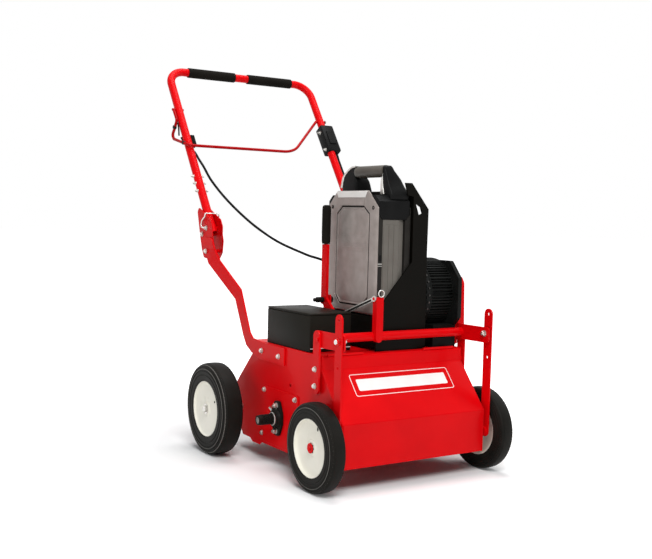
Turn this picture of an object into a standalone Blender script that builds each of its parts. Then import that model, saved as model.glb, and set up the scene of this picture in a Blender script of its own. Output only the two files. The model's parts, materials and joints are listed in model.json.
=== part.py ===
"""Walk-behind electric lawn scarifier, in metres, +Z up, front panel towards -Y, handle towards +Y.

Every piece hangs from one empty that puts the middle of the machine's length at y = 0. Inside it the
front axle is at FRONT_AXLE_Y and the rear axle at REAR_AXLE_Y. -X is the side with the control box.
"""

import math

import bmesh
import bpy
from mathutils import Matrix, Vector

GAP = 0.0003
REAR_AXLE_Y = 0.1612
FRONT_AXLE_Y = -0.300
REAR_TYRE_R = 0.127
FRONT_TYRE_R = 0.1103
SHEET = 0.003
SIDE_OUT = 0.2231
SIDE_IN = SIDE_OUT - SHEET
BEARING_PLATE_OUT = SIDE_OUT + GAP + SHEET
DECK_TOP = 0.3235
ROTOR = (-0.055, 0.132)
SHAFT_R = 0.0125
KNIFE_R = 0.093
MOTOR = (-0.144, 0.465)
MOTOR_SHAFT_R = 0.0095
MOTOR_PULLEY_R = 0.033
ROTOR_PULLEY_R = 0.040
BELT_X = (SIDE_OUT + 0.0114, SIDE_OUT + 0.0244)
MOTOR_PLATE_X = (SIDE_OUT - 0.0068, SIDE_OUT - 0.0008)
ARM_X = (BEARING_PLATE_OUT + 0.0004, BEARING_PLATE_OUT + 0.0054)
LINK_X = (ARM_X[1] + 0.0005, ARM_X[1] + 0.0045)
BRACKET_X = (SIDE_OUT + 0.0057, SIDE_OUT + 0.0107)
ARM_PIVOT = (-0.125, 0.112)
LINK_Y = -0.349
LINK_PIN = (LINK_Y, 0.112)
LINK_PIN_R = 0.006
AXLE_R = 0.008
PIN_R = 0.005
SMALL_PIN_R = 0.004
CRANK = (-0.252, 0.366)
LINK_BOLT = (LINK_Y + 0.003, 0.371)
CRANK_X = (SIDE_OUT + GAP, SIDE_OUT + 0.0053)
TAB_X = (-0.0722, -0.0512)
TAB_PIN = (-0.262, 0.463)
LEVER = (-0.037, 0.442)
LEVER_PIN = (-0.090, 0.400)
LEVER_X = (-0.084, -0.076)
LIFT_X = (LEVER_X[1] + GAP, TAB_X[0] - GAP)
LEVER_BRACKET_X = (TAB_X[0], TAB_X[0] + 0.004)
LEG_X = SIDE_OUT + 0.0359
TUBE_R = 0.0125
CRANK_R = 0.0115
FOLD = (0.302, 0.626)
BACK_BOLT = (0.330, 0.6075)
BAR_BOLT = (0.283, 0.560)
CROSSBAR = (0.644, 1.118)
LEG_SLOPE = (CROSSBAR[0] - FOLD[0]) / (CROSSBAR[1] - FOLD[1])
GRIP_R = 0.0155
BAIL = (0.552, 0.987)
BAIL_REST = (0.449, 0.8725)
BATTERY_X = (-0.050, 0.060)
BATTERY_Y = (-0.232, 0.0085)
BATTERY_Z = 0.415
DOCK_Y = (BATTERY_Y[0] - 0.0015, BATTERY_Y[1] + 0.0015)
STOP_X = SIDE_OUT - 0.0331

# Colour, roughness and metallic value of each material.
RED = ((0.72, 0.02, 0.02), 0.30, 0.0)
BLACK = ((0.03, 0.03, 0.03), 0.45, 0.0)
RUBBER = ((0.05, 0.05, 0.05), 0.80, 0.0)
CREAM = ((0.88, 0.86, 0.78), 0.35, 0.0)
ZINC = ((0.70, 0.70, 0.70), 0.35, 1.0)
STEEL = ((0.40, 0.40, 0.40), 0.40, 1.0)
SILVER = ((0.55, 0.53, 0.51), 0.45, 0.3)
GREY = ((0.30, 0.30, 0.29), 0.55, 0.0)

for old in list(bpy.data.objects):
    bpy.data.objects.remove(old, do_unlink=True)

parts = bpy.data.collections.new("lawn_scarifier")
cutters = bpy.data.collections.new("cutters")
cutters.hide_render = True
for collection in (parts, cutters):
    bpy.context.scene.collection.children.link(collection)

datum = bpy.data.objects.new("datum", None)
datum.location.y = -(FRONT_AXLE_Y - FRONT_TYRE_R + CROSSBAR[0] + GRIP_R) / 2
parts.objects.link(datum)


def material(name, finish):
    """A Principled material with this colour, roughness and metallic value."""
    colour, roughness, metallic = finish
    made = bpy.data.materials.new(name)
    made.use_nodes = True
    made.diffuse_color = (*colour, 1)
    shader = made.node_tree.nodes["Principled BSDF"]
    shader.inputs["Base Color"].default_value = (*colour, 1)
    shader.inputs["Roughness"].default_value = roughness
    shader.inputs["Metallic"].default_value = metallic
    return made


def add(name, data, colour, parent=datum):
    """An object for this mesh or curve in the parts collection; without a colour it is a cutter."""
    made = bpy.data.objects.new(name, data)
    made.parent = parent
    if colour:
        parts.objects.link(made)
        made.data.materials.append(material(name, colour))
    else:
        cutters.objects.link(made)
        made.hide_render = True
        made.display_type = "WIRE"
    return made


def from_bmesh(name, bm, colour):
    mesh = bpy.data.meshes.new(name)
    bmesh.ops.recalc_face_normals(bm, faces=bm.faces)
    bm.to_mesh(mesh)
    bm.free()
    return add(name, mesh, colour)


def box(name, low, high, colour=None, bevel=0.0):
    """A box between two corners, with its edges rounded by bevel."""
    low, high = Vector(low), Vector(high)
    bm = bmesh.new()
    bmesh.ops.create_cube(bm, size=1)
    for vertex in bm.verts:
        vertex.co = (low + high) / 2 + vertex.co * (high - low)
    made = from_bmesh(name, bm, colour)
    if bevel:
        rounding = made.modifiers.new("edges", "BEVEL")
        rounding.width = bevel
        rounding.segments = 2
        rounding.limit_method = "ANGLE"
    return made


def lathe(name, profile, centre, colour=None, axis="x", steps=20, closed=False):
    """A profile of (radius, place along the axis) turned round that axis through centre."""
    mesh = bpy.data.meshes.new(name)
    count = len(profile)
    edges = [(i, (i + 1) % count) for i in range(count if closed else count - 1)]
    mesh.from_pydata([(r, 0, along) for r, along in profile], edges, [])
    made = add(name, mesh, colour)
    made.location = centre
    turns = {"x": (0, math.pi / 2, 0), "z": (0, 0, 0)}
    made.rotation_euler = turns[axis]
    screw = made.modifiers.new("turn", "SCREW")
    screw.axis = "Z"
    screw.steps = screw.render_steps = steps
    screw.use_merge_vertices = True
    screw.merge_threshold = 1e-5
    screw.use_normal_calculate = True
    return baked(made)


def baked(made):
    """The object with its modifiers or curve turned into a mesh whose faces point outwards."""
    bpy.context.view_layer.update()
    graph = bpy.context.evaluated_depsgraph_get()
    mesh = bpy.data.meshes.new_from_object(made.evaluated_get(graph))
    bm = bmesh.new()
    bm.from_mesh(mesh)
    bmesh.ops.remove_doubles(bm, verts=bm.verts, dist=1e-6)
    bmesh.ops.recalc_face_normals(bm, faces=bm.faces)
    bm.to_mesh(mesh)
    bm.free()
    name, colours = made.name, list(made.data.materials)
    home = made.users_collection[0]
    fresh = bpy.data.objects.new(name + "_mesh", mesh)
    fresh.parent = made.parent
    fresh.matrix_local = made.matrix_local.copy()
    home.objects.link(fresh)
    mesh.materials.clear()
    for colour in colours:
        mesh.materials.append(colour)
    if home == cutters:
        fresh.hide_render = True
        fresh.display_type = "WIRE"
    bpy.data.objects.remove(made, do_unlink=True)
    fresh.name = name
    return fresh


PLANES = {
    "x": Matrix(((0, 0, 1, 0), (1, 0, 0, 0), (0, 1, 0, 0), (0, 0, 0, 1))),
    "y": Matrix(((1, 0, 0, 0), (0, 0, -1, 0), (0, 1, 0, 0), (0, 0, 0, 1))),
    "z": Matrix.Identity(4),
}


def circle(centre, radius, steps=14):
    """Points round a circle."""
    turns = [2 * math.pi * i / steps for i in range(steps)]
    return [(centre[0] + radius * math.cos(t), centre[1] + radius * math.sin(t)) for t in turns]


def bore(centre, shaft, steps=14, gap=GAP):
    """A hole whose flats stay clear of a shaft of this radius."""
    return circle(centre, (shaft + gap) / math.cos(math.pi / steps), steps)


def bore_r(shaft, steps, gap=GAP):
    """The radius of that hole's corners."""
    return (shaft + gap) / math.cos(math.pi / steps)


def plate(name, outline, span, colour=None, holes=(), normal="x"):
    """A flat plate: outline and holes in the plane across normal, from span[0] to span[1] along it."""
    low, high = sorted(span)
    curve = bpy.data.curves.new(name, "CURVE")
    curve.dimensions = "2D"
    curve.fill_mode = "BOTH"
    curve.extrude = (high - low) / 2
    for loop in (outline, *holes):
        spline = curve.splines.new("POLY")
        spline.points.add(len(loop) - 1)
        spline.use_cyclic_u = True
        for point, (u, v) in zip(spline.points, loop):
            point.co = (u, v, 0, 1)
    made = add(name, curve, colour)
    place = Vector((0, 0, 0))
    place["xyz".index(normal)] = (low + high) / 2
    made.matrix_local = Matrix.Translation(place) @ PLANES[normal]
    return baked(made)


def rounded(points, radius, steps=4):
    """A closed outline with its corners turned into arcs."""
    made = []
    count = len(points)
    for i in range(count):
        before, here, after = (Vector(points[j % count]) for j in (i - 1, i, i + 1))
        made += corner(before, here, after, radius, steps)
    return [tuple(point) for point in made]


def corner(before, here, after, radius, steps):
    """The arc that takes the place of one corner."""
    into, out = (before - here).normalized(), (after - here).normalized()
    half = into.angle(out) / 2
    reach = min(radius / max(math.tan(half), 1e-6), 0.48 * min((before - here).length, (after - here).length))
    start, end = here + into * reach, here + out * reach
    if half > 1.55:
        return [here]
    middle = here + (into + out).normalized() * (reach / math.cos(half))
    a, b = start - middle, end - middle
    turn = a.angle(b)
    return [
        middle + (a * math.sin((1 - k / steps) * turn) + b * math.sin(k / steps * turn)) / math.sin(turn)
        for k in range(steps + 1)
    ]


def bent(points, radius, steps=5):
    """An open path with its inner corners turned into arcs."""
    points = [Vector(point) for point in points]
    made = [points[0]]
    for before, here, after in zip(points, points[1:], points[2:]):
        made += corner(before, here, after, radius, steps)
    return made + [points[-1]]


def tube(name, path, radius, colour=None, resolution=2, caps=True, bake=True):
    """A round bar along a path of points."""
    curve = bpy.data.curves.new(name, "CURVE")
    curve.dimensions = "3D"
    curve.bevel_depth = radius
    curve.bevel_resolution = resolution
    curve.use_fill_caps = caps
    spline = curve.splines.new("POLY")
    spline.points.add(len(path) - 1)
    for point, place in zip(spline.points, path):
        point.co = (*place, 1)
    made = add(name, curve, colour)
    return baked(made) if bake else made


def rod(name, x0, x1, centre, radius, colour=None, steps=12):
    """A round pin along X."""
    profile = [(0, x1), (radius, x1), (radius, x0), (0, x0)]
    return lathe(name, profile, (0, *centre), colour, steps=steps)


def boolean(target, others, operation):
    """Joins or cuts target with each of the other objects."""
    for other in others:
        for home in list(other.users_collection):
            home.objects.unlink(other)
        cutters.objects.link(other)
        other.hide_render = True
        other.display_type = "WIRE"
        step = target.modifiers.new(operation.lower(), "BOOLEAN")
        step.operation = operation
        step.solver = "EXACT"
        step.object = other
    return target


def join(target, *others):
    return boolean(target, others, "UNION")


def cut(target, *others):
    return boolean(target, others, "DIFFERENCE")


def both(low, high, side):
    """A span of distances from the middle plane, on the side given by its sign."""
    return tuple(sorted((side * low, side * high)))


def slab(centre, half_width, low, high, ends=4):
    """An upright bar's outline with round ends."""
    return capsule((centre, low), (centre, high), half_width, ends)


def capsule(a, b, radius, ends=5, other=None):
    """The outline round two circles, with the second radius if other is given."""
    a, b = Vector(a), Vector(b)
    other = radius if other is None else other
    along = (b - a).normalized()
    base = math.atan2(along.y, along.x)
    lean = math.acos((radius - other) / (b - a).length)
    made = []
    for centre, size, start, stop in ((a, radius, lean, 2 * math.pi - lean), (b, other, -lean, lean)):
        for i in range(2 * ends + 1):
            angle = base + start + (stop - start) * i / (2 * ends)
            made.append((centre.x + size * math.cos(angle), centre.y + size * math.sin(angle)))
    return made


def eyed_bar(a, b, half, eye_a, eye_b, ends=6):
    """The outline of a straight bar with a round eye at each end."""
    a, b = Vector(a), Vector(b)
    base = math.atan2((b - a).y, (b - a).x)
    made = []
    for centre, size, middle in ((a, eye_a, base + math.pi), (b, eye_b, base)):
        spread = math.pi - math.asin(half / size)
        for i in range(2 * ends + 1):
            angle = middle - spread + spread * i / ends
            made.append((centre.x + size * math.cos(angle), centre.y + size * math.sin(angle)))
    return made


def leg(z):
    """The handle leg's middle line at this height."""
    return (FOLD[0] + LEG_SLOPE * (z - FOLD[1]), z)


SIDES = (("right", -1), ("left", 1))

# Deck: one bent sheet between two flat side plates.
DECK_LINE = [
    (-0.356, 0.061),
    (-0.357, 0.171),
    (-0.257, 0.288),
    (-0.257, DECK_TOP),
    (0.1017, DECK_TOP),
    (0.1017, 0.287),
    (0.180, 0.208),
    (0.2285, 0.150),
]
DECK_FOOT = [(0.152, 0.046), (0.110, 0.046), (0.095, 0.037), (0.055, 0.037), (0.040, 0.046), (-0.200, 0.048)]


def inset(line, depth):
    """The line moved to its right-hand side by depth, with mitred corners."""
    made = []
    for i, point in enumerate(line):
        here = Vector(point)
        ways = []
        if i:
            ways.append((here - Vector(line[i - 1])).normalized())
        if i < len(line) - 1:
            ways.append((Vector(line[i + 1]) - here).normalized())
        normals = [Vector((way.y, -way.x)) for way in ways]
        middle = sum(normals, Vector((0, 0))).normalized()
        made.append(tuple(here + middle * (depth / middle.dot(normals[0]))))
    return made


def inset_loop(loop, depth):
    """The same for a closed outline."""
    return inset([loop[-1], *loop, loop[0]], depth)[1:-1]


sheet = DECK_LINE + inset(DECK_LINE, SHEET)[::-1]
deck = plate("deck_shell", sheet, (-(SIDE_IN - GAP), SIDE_IN - GAP), RED)

for name, side in SIDES:
    holes = [
        circle(ROTOR, 0.030, 28),
        bore((REAR_AXLE_Y, REAR_TYRE_R), AXLE_R),
        bore(ARM_PIVOT, AXLE_R),
        circle((-0.1055, 0.227), 0.005, 12),
    ]
    plate("side_plate_" + name, DECK_LINE + DECK_FOOT, both(SIDE_IN, SIDE_OUT, side), RED, holes)
    holes = [circle(ROTOR, 0.016 if side < 0 else 0.020, 24), bore(ARM_PIVOT, AXLE_R)]
    outline = rounded([(-0.152, 0.055), (0.030, 0.055), (0.030, 0.2063), (-0.152, 0.2063)], 0.006, 2)
    plate("bearing_plate_" + name, outline, both(SIDE_OUT + GAP, BEARING_PLATE_OUT, side), RED, holes)

# Rotor: a shaft with knife discs, flange bearings and a belt pulley.
BEARING_R = 0.023
FLANGE = [
    (0.011, 0.045),
    (-0.011, 0.045),
    (-0.026, 0.013),
    (-0.026, -0.013),
    (-0.011, -0.045),
    (0.011, -0.045),
    (0.026, -0.013),
    (0.026, 0.013),
]
FLANGE_LINE = rounded([(ROTOR[0] + dy, ROTOR[1] + dz) for dy, dz in FLANGE], 0.008, 2)
for name, near, way, boss_out in (
    ("right", -BEARING_PLATE_OUT - 0.0004, -1, 0.0172),
    ("left", SIDE_IN - 0.0006, -1, 0.0155),
):
    far = near + way * 0.0072
    middle = (near + far) / 2
    end = near + way * boss_out
    flange = plate("bearing_flange_" + name, FLANGE_LINE, (near, far), BLACK, [bore(ROTOR, SHAFT_R, 20)])
    hole = bore_r(SHAFT_R, 20)
    boss = [(hole, middle), (BEARING_R, middle), (BEARING_R - 0.002, end), (hole, end)]
    join(flange, lathe("bearing_boss_" + name, boss, (0, *ROTOR), closed=True))

KNIFE_COUNT = 10
KNIFE_T = 0.003
REEL_HALF = SIDE_IN - 0.0206
REEL_R = 0.016
KNIFE_SPACING = 2 * (REEL_HALF - 0.0195) / (KNIFE_COUNT - 1)
reel_line = [
    (0, BELT_X[1] + 0.002),
    (SHAFT_R, BELT_X[1] + 0.002),
    (SHAFT_R, REEL_HALF + 0.0005),
    (REEL_R, REEL_HALF),
    (REEL_R, -REEL_HALF),
    (SHAFT_R, -REEL_HALF - 0.0005),
    (SHAFT_R, -SIDE_OUT - 0.0659),
    (0, -SIDE_OUT - 0.0659),
]
reel = lathe("knife_reel", reel_line, (0, *ROTOR), STEEL, steps=14)
TOOTH = ((-26, 0.034), (-7, 0.060), (0, KNIFE_R), (9, KNIFE_R - 0.004), (17, 0.058))
for k in range(KNIFE_COUNT):
    x = (k - (KNIFE_COUNT - 1) / 2) * KNIFE_SPACING
    star = []
    for tooth in range(4):
        for turn, radius in TOOTH:
            angle = math.radians(90 * tooth + 21 * k + turn)
            star.append((ROTOR[0] + radius * math.cos(angle), ROTOR[1] + radius * math.sin(angle)))
    join(reel, plate("knife_%02d" % (k + 1), star, (x - KNIFE_T / 2, x + KNIFE_T / 2)))


def pulley(name, radius, centre, hole, colour, hub=None):
    """A belt pulley with a low flange on each side of the belt's path, and a shaft end at hub."""
    x0, x1 = BELT_X
    rim = radius + 0.005
    groove = [
        (rim, x0),
        (rim, x0 + 0.0016),
        (radius, x0 + 0.0019),
        (radius, x1 - 0.0019),
        (rim, x1 - 0.0016),
        (rim, x1),
    ]
    if hub is None:
        return lathe(name, [(hole, x0), *groove, (hole, x1)], (0, *centre), colour, closed=True)
    shaft = [(hole, x0), (hole, hub), (0, hub)]
    return lathe(name, [(0, x1), *groove[::-1], *shaft], (0, *centre), colour)


pulley("rotor_pulley", ROTOR_PULLEY_R, ROTOR, bore_r(SHAFT_R, 20), STEEL)
pulley("motor_pulley", MOTOR_PULLEY_R, MOTOR, MOTOR_SHAFT_R, STEEL, hub=MOTOR_PLATE_X[0] - 0.0033)
BELT_T = 0.004
BELT_GAP = 2 * GAP
belt_out = capsule(
    MOTOR,
    ROTOR,
    MOTOR_PULLEY_R + BELT_GAP + BELT_T,
    10,
    ROTOR_PULLEY_R + BELT_GAP + BELT_T,
)
belt_in = capsule(MOTOR, ROTOR, MOTOR_PULLEY_R + BELT_GAP, 10, ROTOR_PULLEY_R + BELT_GAP)
plate("drive_belt", belt_out, (BELT_X[0] + 0.0022, BELT_X[1] - 0.0022), RUBBER, [belt_in])

IDLER_PIVOT = (-0.106, 0.330)
IDLER_WHEEL = (-0.084, 0.272)
IDLER_R = 0.012
IDLER_X = (BELT_X[0] - 0.0045, BELT_X[0] - 0.0010)
idler = plate("idler_arm", capsule(IDLER_PIVOT, IDLER_WHEEL, 0.009), IDLER_X, ZINC)
join(
    idler,
    rod("idler_pin", IDLER_X[1] - 0.0015, BELT_X[1] + 0.0005, IDLER_WHEEL, SMALL_PIN_R),
    rod("idler_shaft", SIDE_OUT + 0.0009, IDLER_X[0] + 0.0020, IDLER_PIVOT, PIN_R),
)
hole = bore_r(SMALL_PIN_R, 20)
idler_line = [(hole, BELT_X[0]), (IDLER_R, BELT_X[0]), (IDLER_R, BELT_X[1]), (hole, BELT_X[1])]
lathe("idler_pulley", idler_line, (0, *IDLER_WHEEL), BLACK, closed=True)

GUARD_X = (BELT_X[0] - 0.0053, BELT_X[1] + 0.0070)
GUARD_T = 0.002
GUARD_LINE = [
    (-0.2310, 0.3400),
    (-0.2250, 0.4950),
    (-0.2150, 0.5120),
    (-0.1150, 0.5120),
    (-0.0930, 0.4950),
    (-0.0030, 0.1500),
    (-0.0030, 0.1050),
    (-0.0300, 0.0800),
    (-0.0800, 0.0800),
    (-0.1060, 0.1050),
    (-0.1160, 0.1800),
    (-0.1660, 0.3100),
]
guard = plate("belt_guard", rounded(GUARD_LINE, 0.010, 2), GUARD_X, RED)
hollow = rounded(inset_loop(GUARD_LINE, GUARD_T), 0.009, 2)
cut(guard, plate("guard_hollow", hollow, (GUARD_X[0] - 0.01, GUARD_X[1] - GUARD_T)))

# Motor: a finned barrel with an eight-sided end bell, on its upright plate.
MOTOR_R = 0.0965
FIN_DEPTH = 0.006
MOTOR_X = (0.1280, SIDE_OUT - 0.0191)
BELL_END = MOTOR_PLATE_X[0] - 0.0008
BELL_LINE = [
    (-0.2600, 0.4050),
    (-0.2600, 0.5105),
    (-0.2205, 0.5560),
    (-0.0675, 0.5560),
    (-0.0280, 0.5105),
    (-0.0280, 0.4050),
    (-0.0675, 0.3650),
    (-0.2205, 0.3650),
]
FINS = 26
FIN_STEPS = ((0, MOTOR_R - FIN_DEPTH), (0.3, MOTOR_R - FIN_DEPTH), (0.36, MOTOR_R), (0.94, MOTOR_R))
fins = []
for i in range(FINS):
    for step, radius in FIN_STEPS:
        angle = 2 * math.pi * (i + step) / FINS
        fins.append((MOTOR[0] + radius * math.cos(angle), MOTOR[1] + radius * math.sin(angle)))
motor = plate("motor_body", fins, MOTOR_X, BLACK)
foot_low = (MOTOR_X[0] + 0.010, MOTOR[0] - 0.060, DECK_TOP + GAP)
join(
    motor,
    box("motor_foot", foot_low, (MOTOR_X[1], MOTOR[0] + 0.060, MOTOR[1] - MOTOR_R + 0.012)),
    plate("motor_bell", BELL_LINE, (MOTOR_X[1] - 0.001, BELL_END)),
)
cut(motor, rod("motor_bore", BELL_END - 0.008, BELL_END + 0.005, MOTOR, bore_r(MOTOR_SHAFT_R, 20), steps=20))
CAP_STEPS = ((0, -0.0130), (0.030, -0.0130), (0.034, -0.0095), (0.078, -0.0095), (0.0925, -0.0055))
cap_steps = [(r, MOTOR_X[0] + dx) for r, dx in (*CAP_STEPS, (MOTOR_R - 0.0015, -GAP), (0, -GAP))]
lathe("motor_end_cap", cap_steps[::-1], (0, *MOTOR), BLACK, steps=36)
MOTOR_PLATE_LINE = [
    (-0.236, DECK_TOP + GAP),
    (-0.030, DECK_TOP + GAP),
    (-0.045, 0.455),
    (-0.085, 0.508),
    (-0.200, 0.508),
    (-0.236, 0.460),
]
shaft_hole = circle(MOTOR, MOTOR_SHAFT_R + 0.002, 20)
plate("motor_plate", rounded(MOTOR_PLATE_LINE, 0.014, 3), MOTOR_PLATE_X, RED, [shaft_hole])

# Control box on the deck, with a lid.
CONTROL_X = (-SIDE_OUT + 0.0043, -0.0945)
CONTROL_Y = (-0.1915, 0.030)
LID_Z = (0.4165, 0.4225)
BOX_BEVEL = 0.002
for name, low, high in (("box", DECK_TOP + GAP, LID_Z[0]), ("lid", LID_Z[0] + GAP, LID_Z[1])):
    corners = [(x, y, z) for x, y, z in zip(CONTROL_X, CONTROL_Y, (low, high))]
    box("controller_" + name, *corners, BLACK, BOX_BEVEL)

# Battery dock: front and rear cheeks, back wall, outer wall, seat and low inner lip.
CHEEK = [
    (-0.048, DECK_TOP + GAP),
    (0.112, DECK_TOP + GAP),
    (0.110, 0.565),
    (0.111, 0.693),
    (0.0546, 0.760),
    (0.0325, 0.760),
    (0.0420, 0.7285),
    (0.0610, 0.7245),
    (0.0610, 0.554),
    (-0.023, 0.457),
    (-0.048, 0.351),
]
EAR_SLOT = [(0.068, 0.707), (0.079, 0.677), (0.090, 0.682), (0.084, 0.698)]
CHEEK_T = 0.005
DOCK_WALL = 0.004
dock = plate("dock_frame", CHEEK, (DOCK_Y[0] - CHEEK_T, DOCK_Y[0]), BLACK, [EAR_SLOT], "y")
rear = plate("dock_cheek", CHEEK, (DOCK_Y[1], DOCK_Y[1] + CHEEK_T), None, [EAR_SLOT], "y")
WALLS = (DOCK_Y[0] - 0.001, DOCK_Y[1] + 0.001)
SEAT_Z = (BATTERY_Z - 0.009, BATTERY_Z - 0.003)
BACK_X = BATTERY_X[1] + 0.0025
join(
    dock,
    rear,
    box("dock_back", (BACK_X, WALLS[0], 0.330), (BACK_X + DOCK_WALL, WALLS[1], 0.665)),
    box("dock_outer", (0.1050, WALLS[0], 0.330), (0.1050 + DOCK_WALL, WALLS[1], 0.640)),
    box("dock_seat", (-0.0440, WALLS[0], SEAT_Z[0]), (BACK_X + 0.0015, WALLS[1], SEAT_Z[1])),
    box("dock_lip", (-0.0470, WALLS[0], 0.3300), (-0.0430, WALLS[1], SEAT_Z[1] - 0.002)),
)

# Battery pack: two silver shells with a dark block inside each, a case between them, a cap and its arch.


def on_battery(points):
    """Points given by their distance behind the battery's front."""
    return [(BATTERY_Y[0] + y, z) for y, z in points]


PLATE_T = 0.005
SHELL_T = 0.0195
CAP_Z = 0.664
CAP_TOP = CAP_Z + 0.0625
CAP_CUT = (0.0113, 0.0137)
BATTERY_LONG = BATTERY_Y[1] - BATTERY_Y[0]
FACET_X = 0.020
CASE_X = (BATTERY_X[0] + SHELL_T + GAP, BATTERY_X[1] - SHELL_T - GAP)
CASE_LINE = [
    (CASE_X[0], BATTERY_Y[0] + 0.002),
    (FACET_X, BATTERY_Y[0] + 0.002),
    (CASE_X[1], BATTERY_Y[0] + 0.009),
    (CASE_X[1], BATTERY_Y[1] - 0.002),
    (CASE_X[0], BATTERY_Y[1] - 0.002),
]
plate("battery_case", CASE_LINE, (BATTERY_Z, CAP_Z - GAP), GREY, (), "z")
SHELL = on_battery(
    [
        (0.008, BATTERY_Z + 0.001),
        (BATTERY_LONG - 0.0075, BATTERY_Z + 0.001),
        (BATTERY_LONG, BATTERY_Z + 0.010),
        (BATTERY_LONG, CAP_Z + 0.030),
        (0.194, CAP_Z + 0.074),
        (0.046, CAP_Z + 0.074),
        (0.0, CAP_Z + 0.030),
        (0.0, BATTERY_Z + 0.010),
    ]
)
RECESS = on_battery(
    [
        (0.177, BATTERY_Z + 0.021),
        (0.211, BATTERY_Z + 0.055),
        (0.211, CAP_Z - 0.018),
        (0.179, CAP_Z + 0.016),
        (0.061, CAP_Z + 0.016),
        (0.029, CAP_Z - 0.018),
        (0.029, BATTERY_Z + 0.055),
        (0.063, BATTERY_Z + 0.021),
    ]
)
for name, outside, way in (("right", BATTERY_X[0], 1), ("left", BATTERY_X[1], -1)):
    shell = plate("battery_shell_" + name, SHELL, (outside, outside + way * PLATE_T), SILVER)
    edges = shell.modifiers.new("edges", "BEVEL")
    edges.width = 0.002
    edges.segments = 2
    edges.limit_method = "ANGLE"
    x0, x1 = outside + way * (PLATE_T - 0.001), outside + way * SHELL_T
    top = CAP_Z - GAP
    corner_x = x1 - way * 0.0035
    slope_end = top + (corner_x - x0) * way * CAP_CUT[1] / CAP_CUT[0]
    low = BATTERY_Z + 0.001
    under_cap = [(x0, low), (x1, low), (x1, top), (corner_x, top), (x0, slope_end)]
    length = (BATTERY_Y[0] + 0.001, BATTERY_Y[1] - 0.001)
    join(shell, plate("shell_block_" + name, under_cap, length, None, (), "y"))
    cut(shell, plate("battery_recess_" + name, RECESS, (outside - way * 0.004, outside + way * 0.0015)))

cap_x = (BATTERY_X[0] + PLATE_T + GAP, BATTERY_X[1] - PLATE_T - GAP)
cap_line = on_battery(
    [
        (0, CAP_Z),
        (BATTERY_LONG, CAP_Z),
        (BATTERY_LONG, CAP_TOP - 0.0160),
        (BATTERY_LONG - 0.018, CAP_TOP),
        (0.018, CAP_TOP),
        (0, CAP_TOP - 0.0160),
    ]
)
cap_node = plate("battery_cap", rounded(cap_line, 0.003, 2), cap_x, BLACK)
past = 0.001
past_x = past * CAP_CUT[0] / CAP_CUT[1]
cap_front = [
    (cap_x[0] + CAP_CUT[0] + past_x, CAP_Z - past),
    (cap_x[1] - CAP_CUT[0] - past_x, CAP_Z - past),
    (cap_x[1] + past_x, CAP_Z + CAP_CUT[1] + past),
    (cap_x[1] + past_x, CAP_TOP + past),
    (cap_x[0] - past_x, CAP_TOP + past),
    (cap_x[0] - past_x, CAP_Z + CAP_CUT[1] + past),
]
boolean(cap_node, (plate("cap_corners", cap_front, (-0.3, 0.1), None, (), "y"),), "INTERSECT")
cap_node = baked(cap_node)
GRIP_AT = (0.004, CAP_Z + 0.126)
BATTERY_GRIP_R = 0.016
ARCH = on_battery(
    [
        (0.003, CAP_TOP - 0.0165),
        (0.003, CAP_TOP + 0.0035),
        (0.0165, CAP_TOP + 0.0305),
        (0.033, CAP_TOP + 0.0705),
        (0.047, CAP_TOP + 0.0795),
        (0.167, CAP_TOP + 0.0815),
        (0.1885, CAP_TOP + 0.0765),
        (0.229, CAP_TOP + 0.0515),
        (0.2385, CAP_TOP + 0.0215),
        (0.2385, CAP_TOP - 0.0165),
        (0.165, CAP_TOP - 0.0165),
        (0.164, CAP_TOP + 0.0155),
        (0.162, CAP_TOP + 0.0415),
        (0.154, CAP_TOP + 0.0475),
        (0.060, CAP_TOP + 0.0475),
        (0.051, CAP_TOP + 0.0415),
        (0.049, CAP_TOP + 0.0155),
        (0.049, CAP_TOP - 0.0165),
    ]
)
ARCH_FRONT = [
    (-0.006, CAP_TOP - 0.03),
    (cap_x[1] - 0.0002, CAP_TOP - 0.03),
    (cap_x[1] - 0.0002, CAP_TOP + 0.0045),
    (0.0412, CAP_TOP + 0.0405),
    (0.0235, CAP_TOP + 0.0660),
    (0.0180, CAP_TOP + 0.0900),
    (-0.0060, CAP_TOP + 0.0900),
    (-0.0080, CAP_TOP + 0.0660),
]
arch = plate("handle_arch", ARCH, (-0.02, 0.07))
boolean(arch, (plate("handle_sides", ARCH_FRONT, (-0.3, 0.1), None, (), "y"),), "INTERSECT")
arch = baked(arch)
GRIP_Y = (BATTERY_Y[0] + 0.040, BATTERY_Y[0] + 0.170)
CORE_HALF = 0.004
SEAT_LOW = GRIP_AT[1] - 0.025
join(cap_node, arch)
cut(cap_node, box("grip_seat", (-0.04, GRIP_Y[0] - GAP, SEAT_LOW), (0.07, GRIP_Y[1] + GAP, SEAT_LOW + 0.06)))
core_low = (GRIP_AT[0] - CORE_HALF, GRIP_Y[0] - 0.004, GRIP_AT[1] - CORE_HALF)
core_high = (GRIP_AT[0] + CORE_HALF, GRIP_Y[1] + 0.004, GRIP_AT[1] + CORE_HALF)
join(cap_node, box("grip_core", core_low, core_high))
hole = CORE_HALF + GAP
square = ((-hole, -hole), (hole, -hole), (hole, hole), (-hole, hole))
core_hole = [(GRIP_AT[0] + dx, GRIP_AT[1] + dz) for dx, dz in square]
plate("battery_grip", circle(GRIP_AT, BATTERY_GRIP_R, 20), GRIP_Y, GREY, [core_hole], "y")

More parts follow.
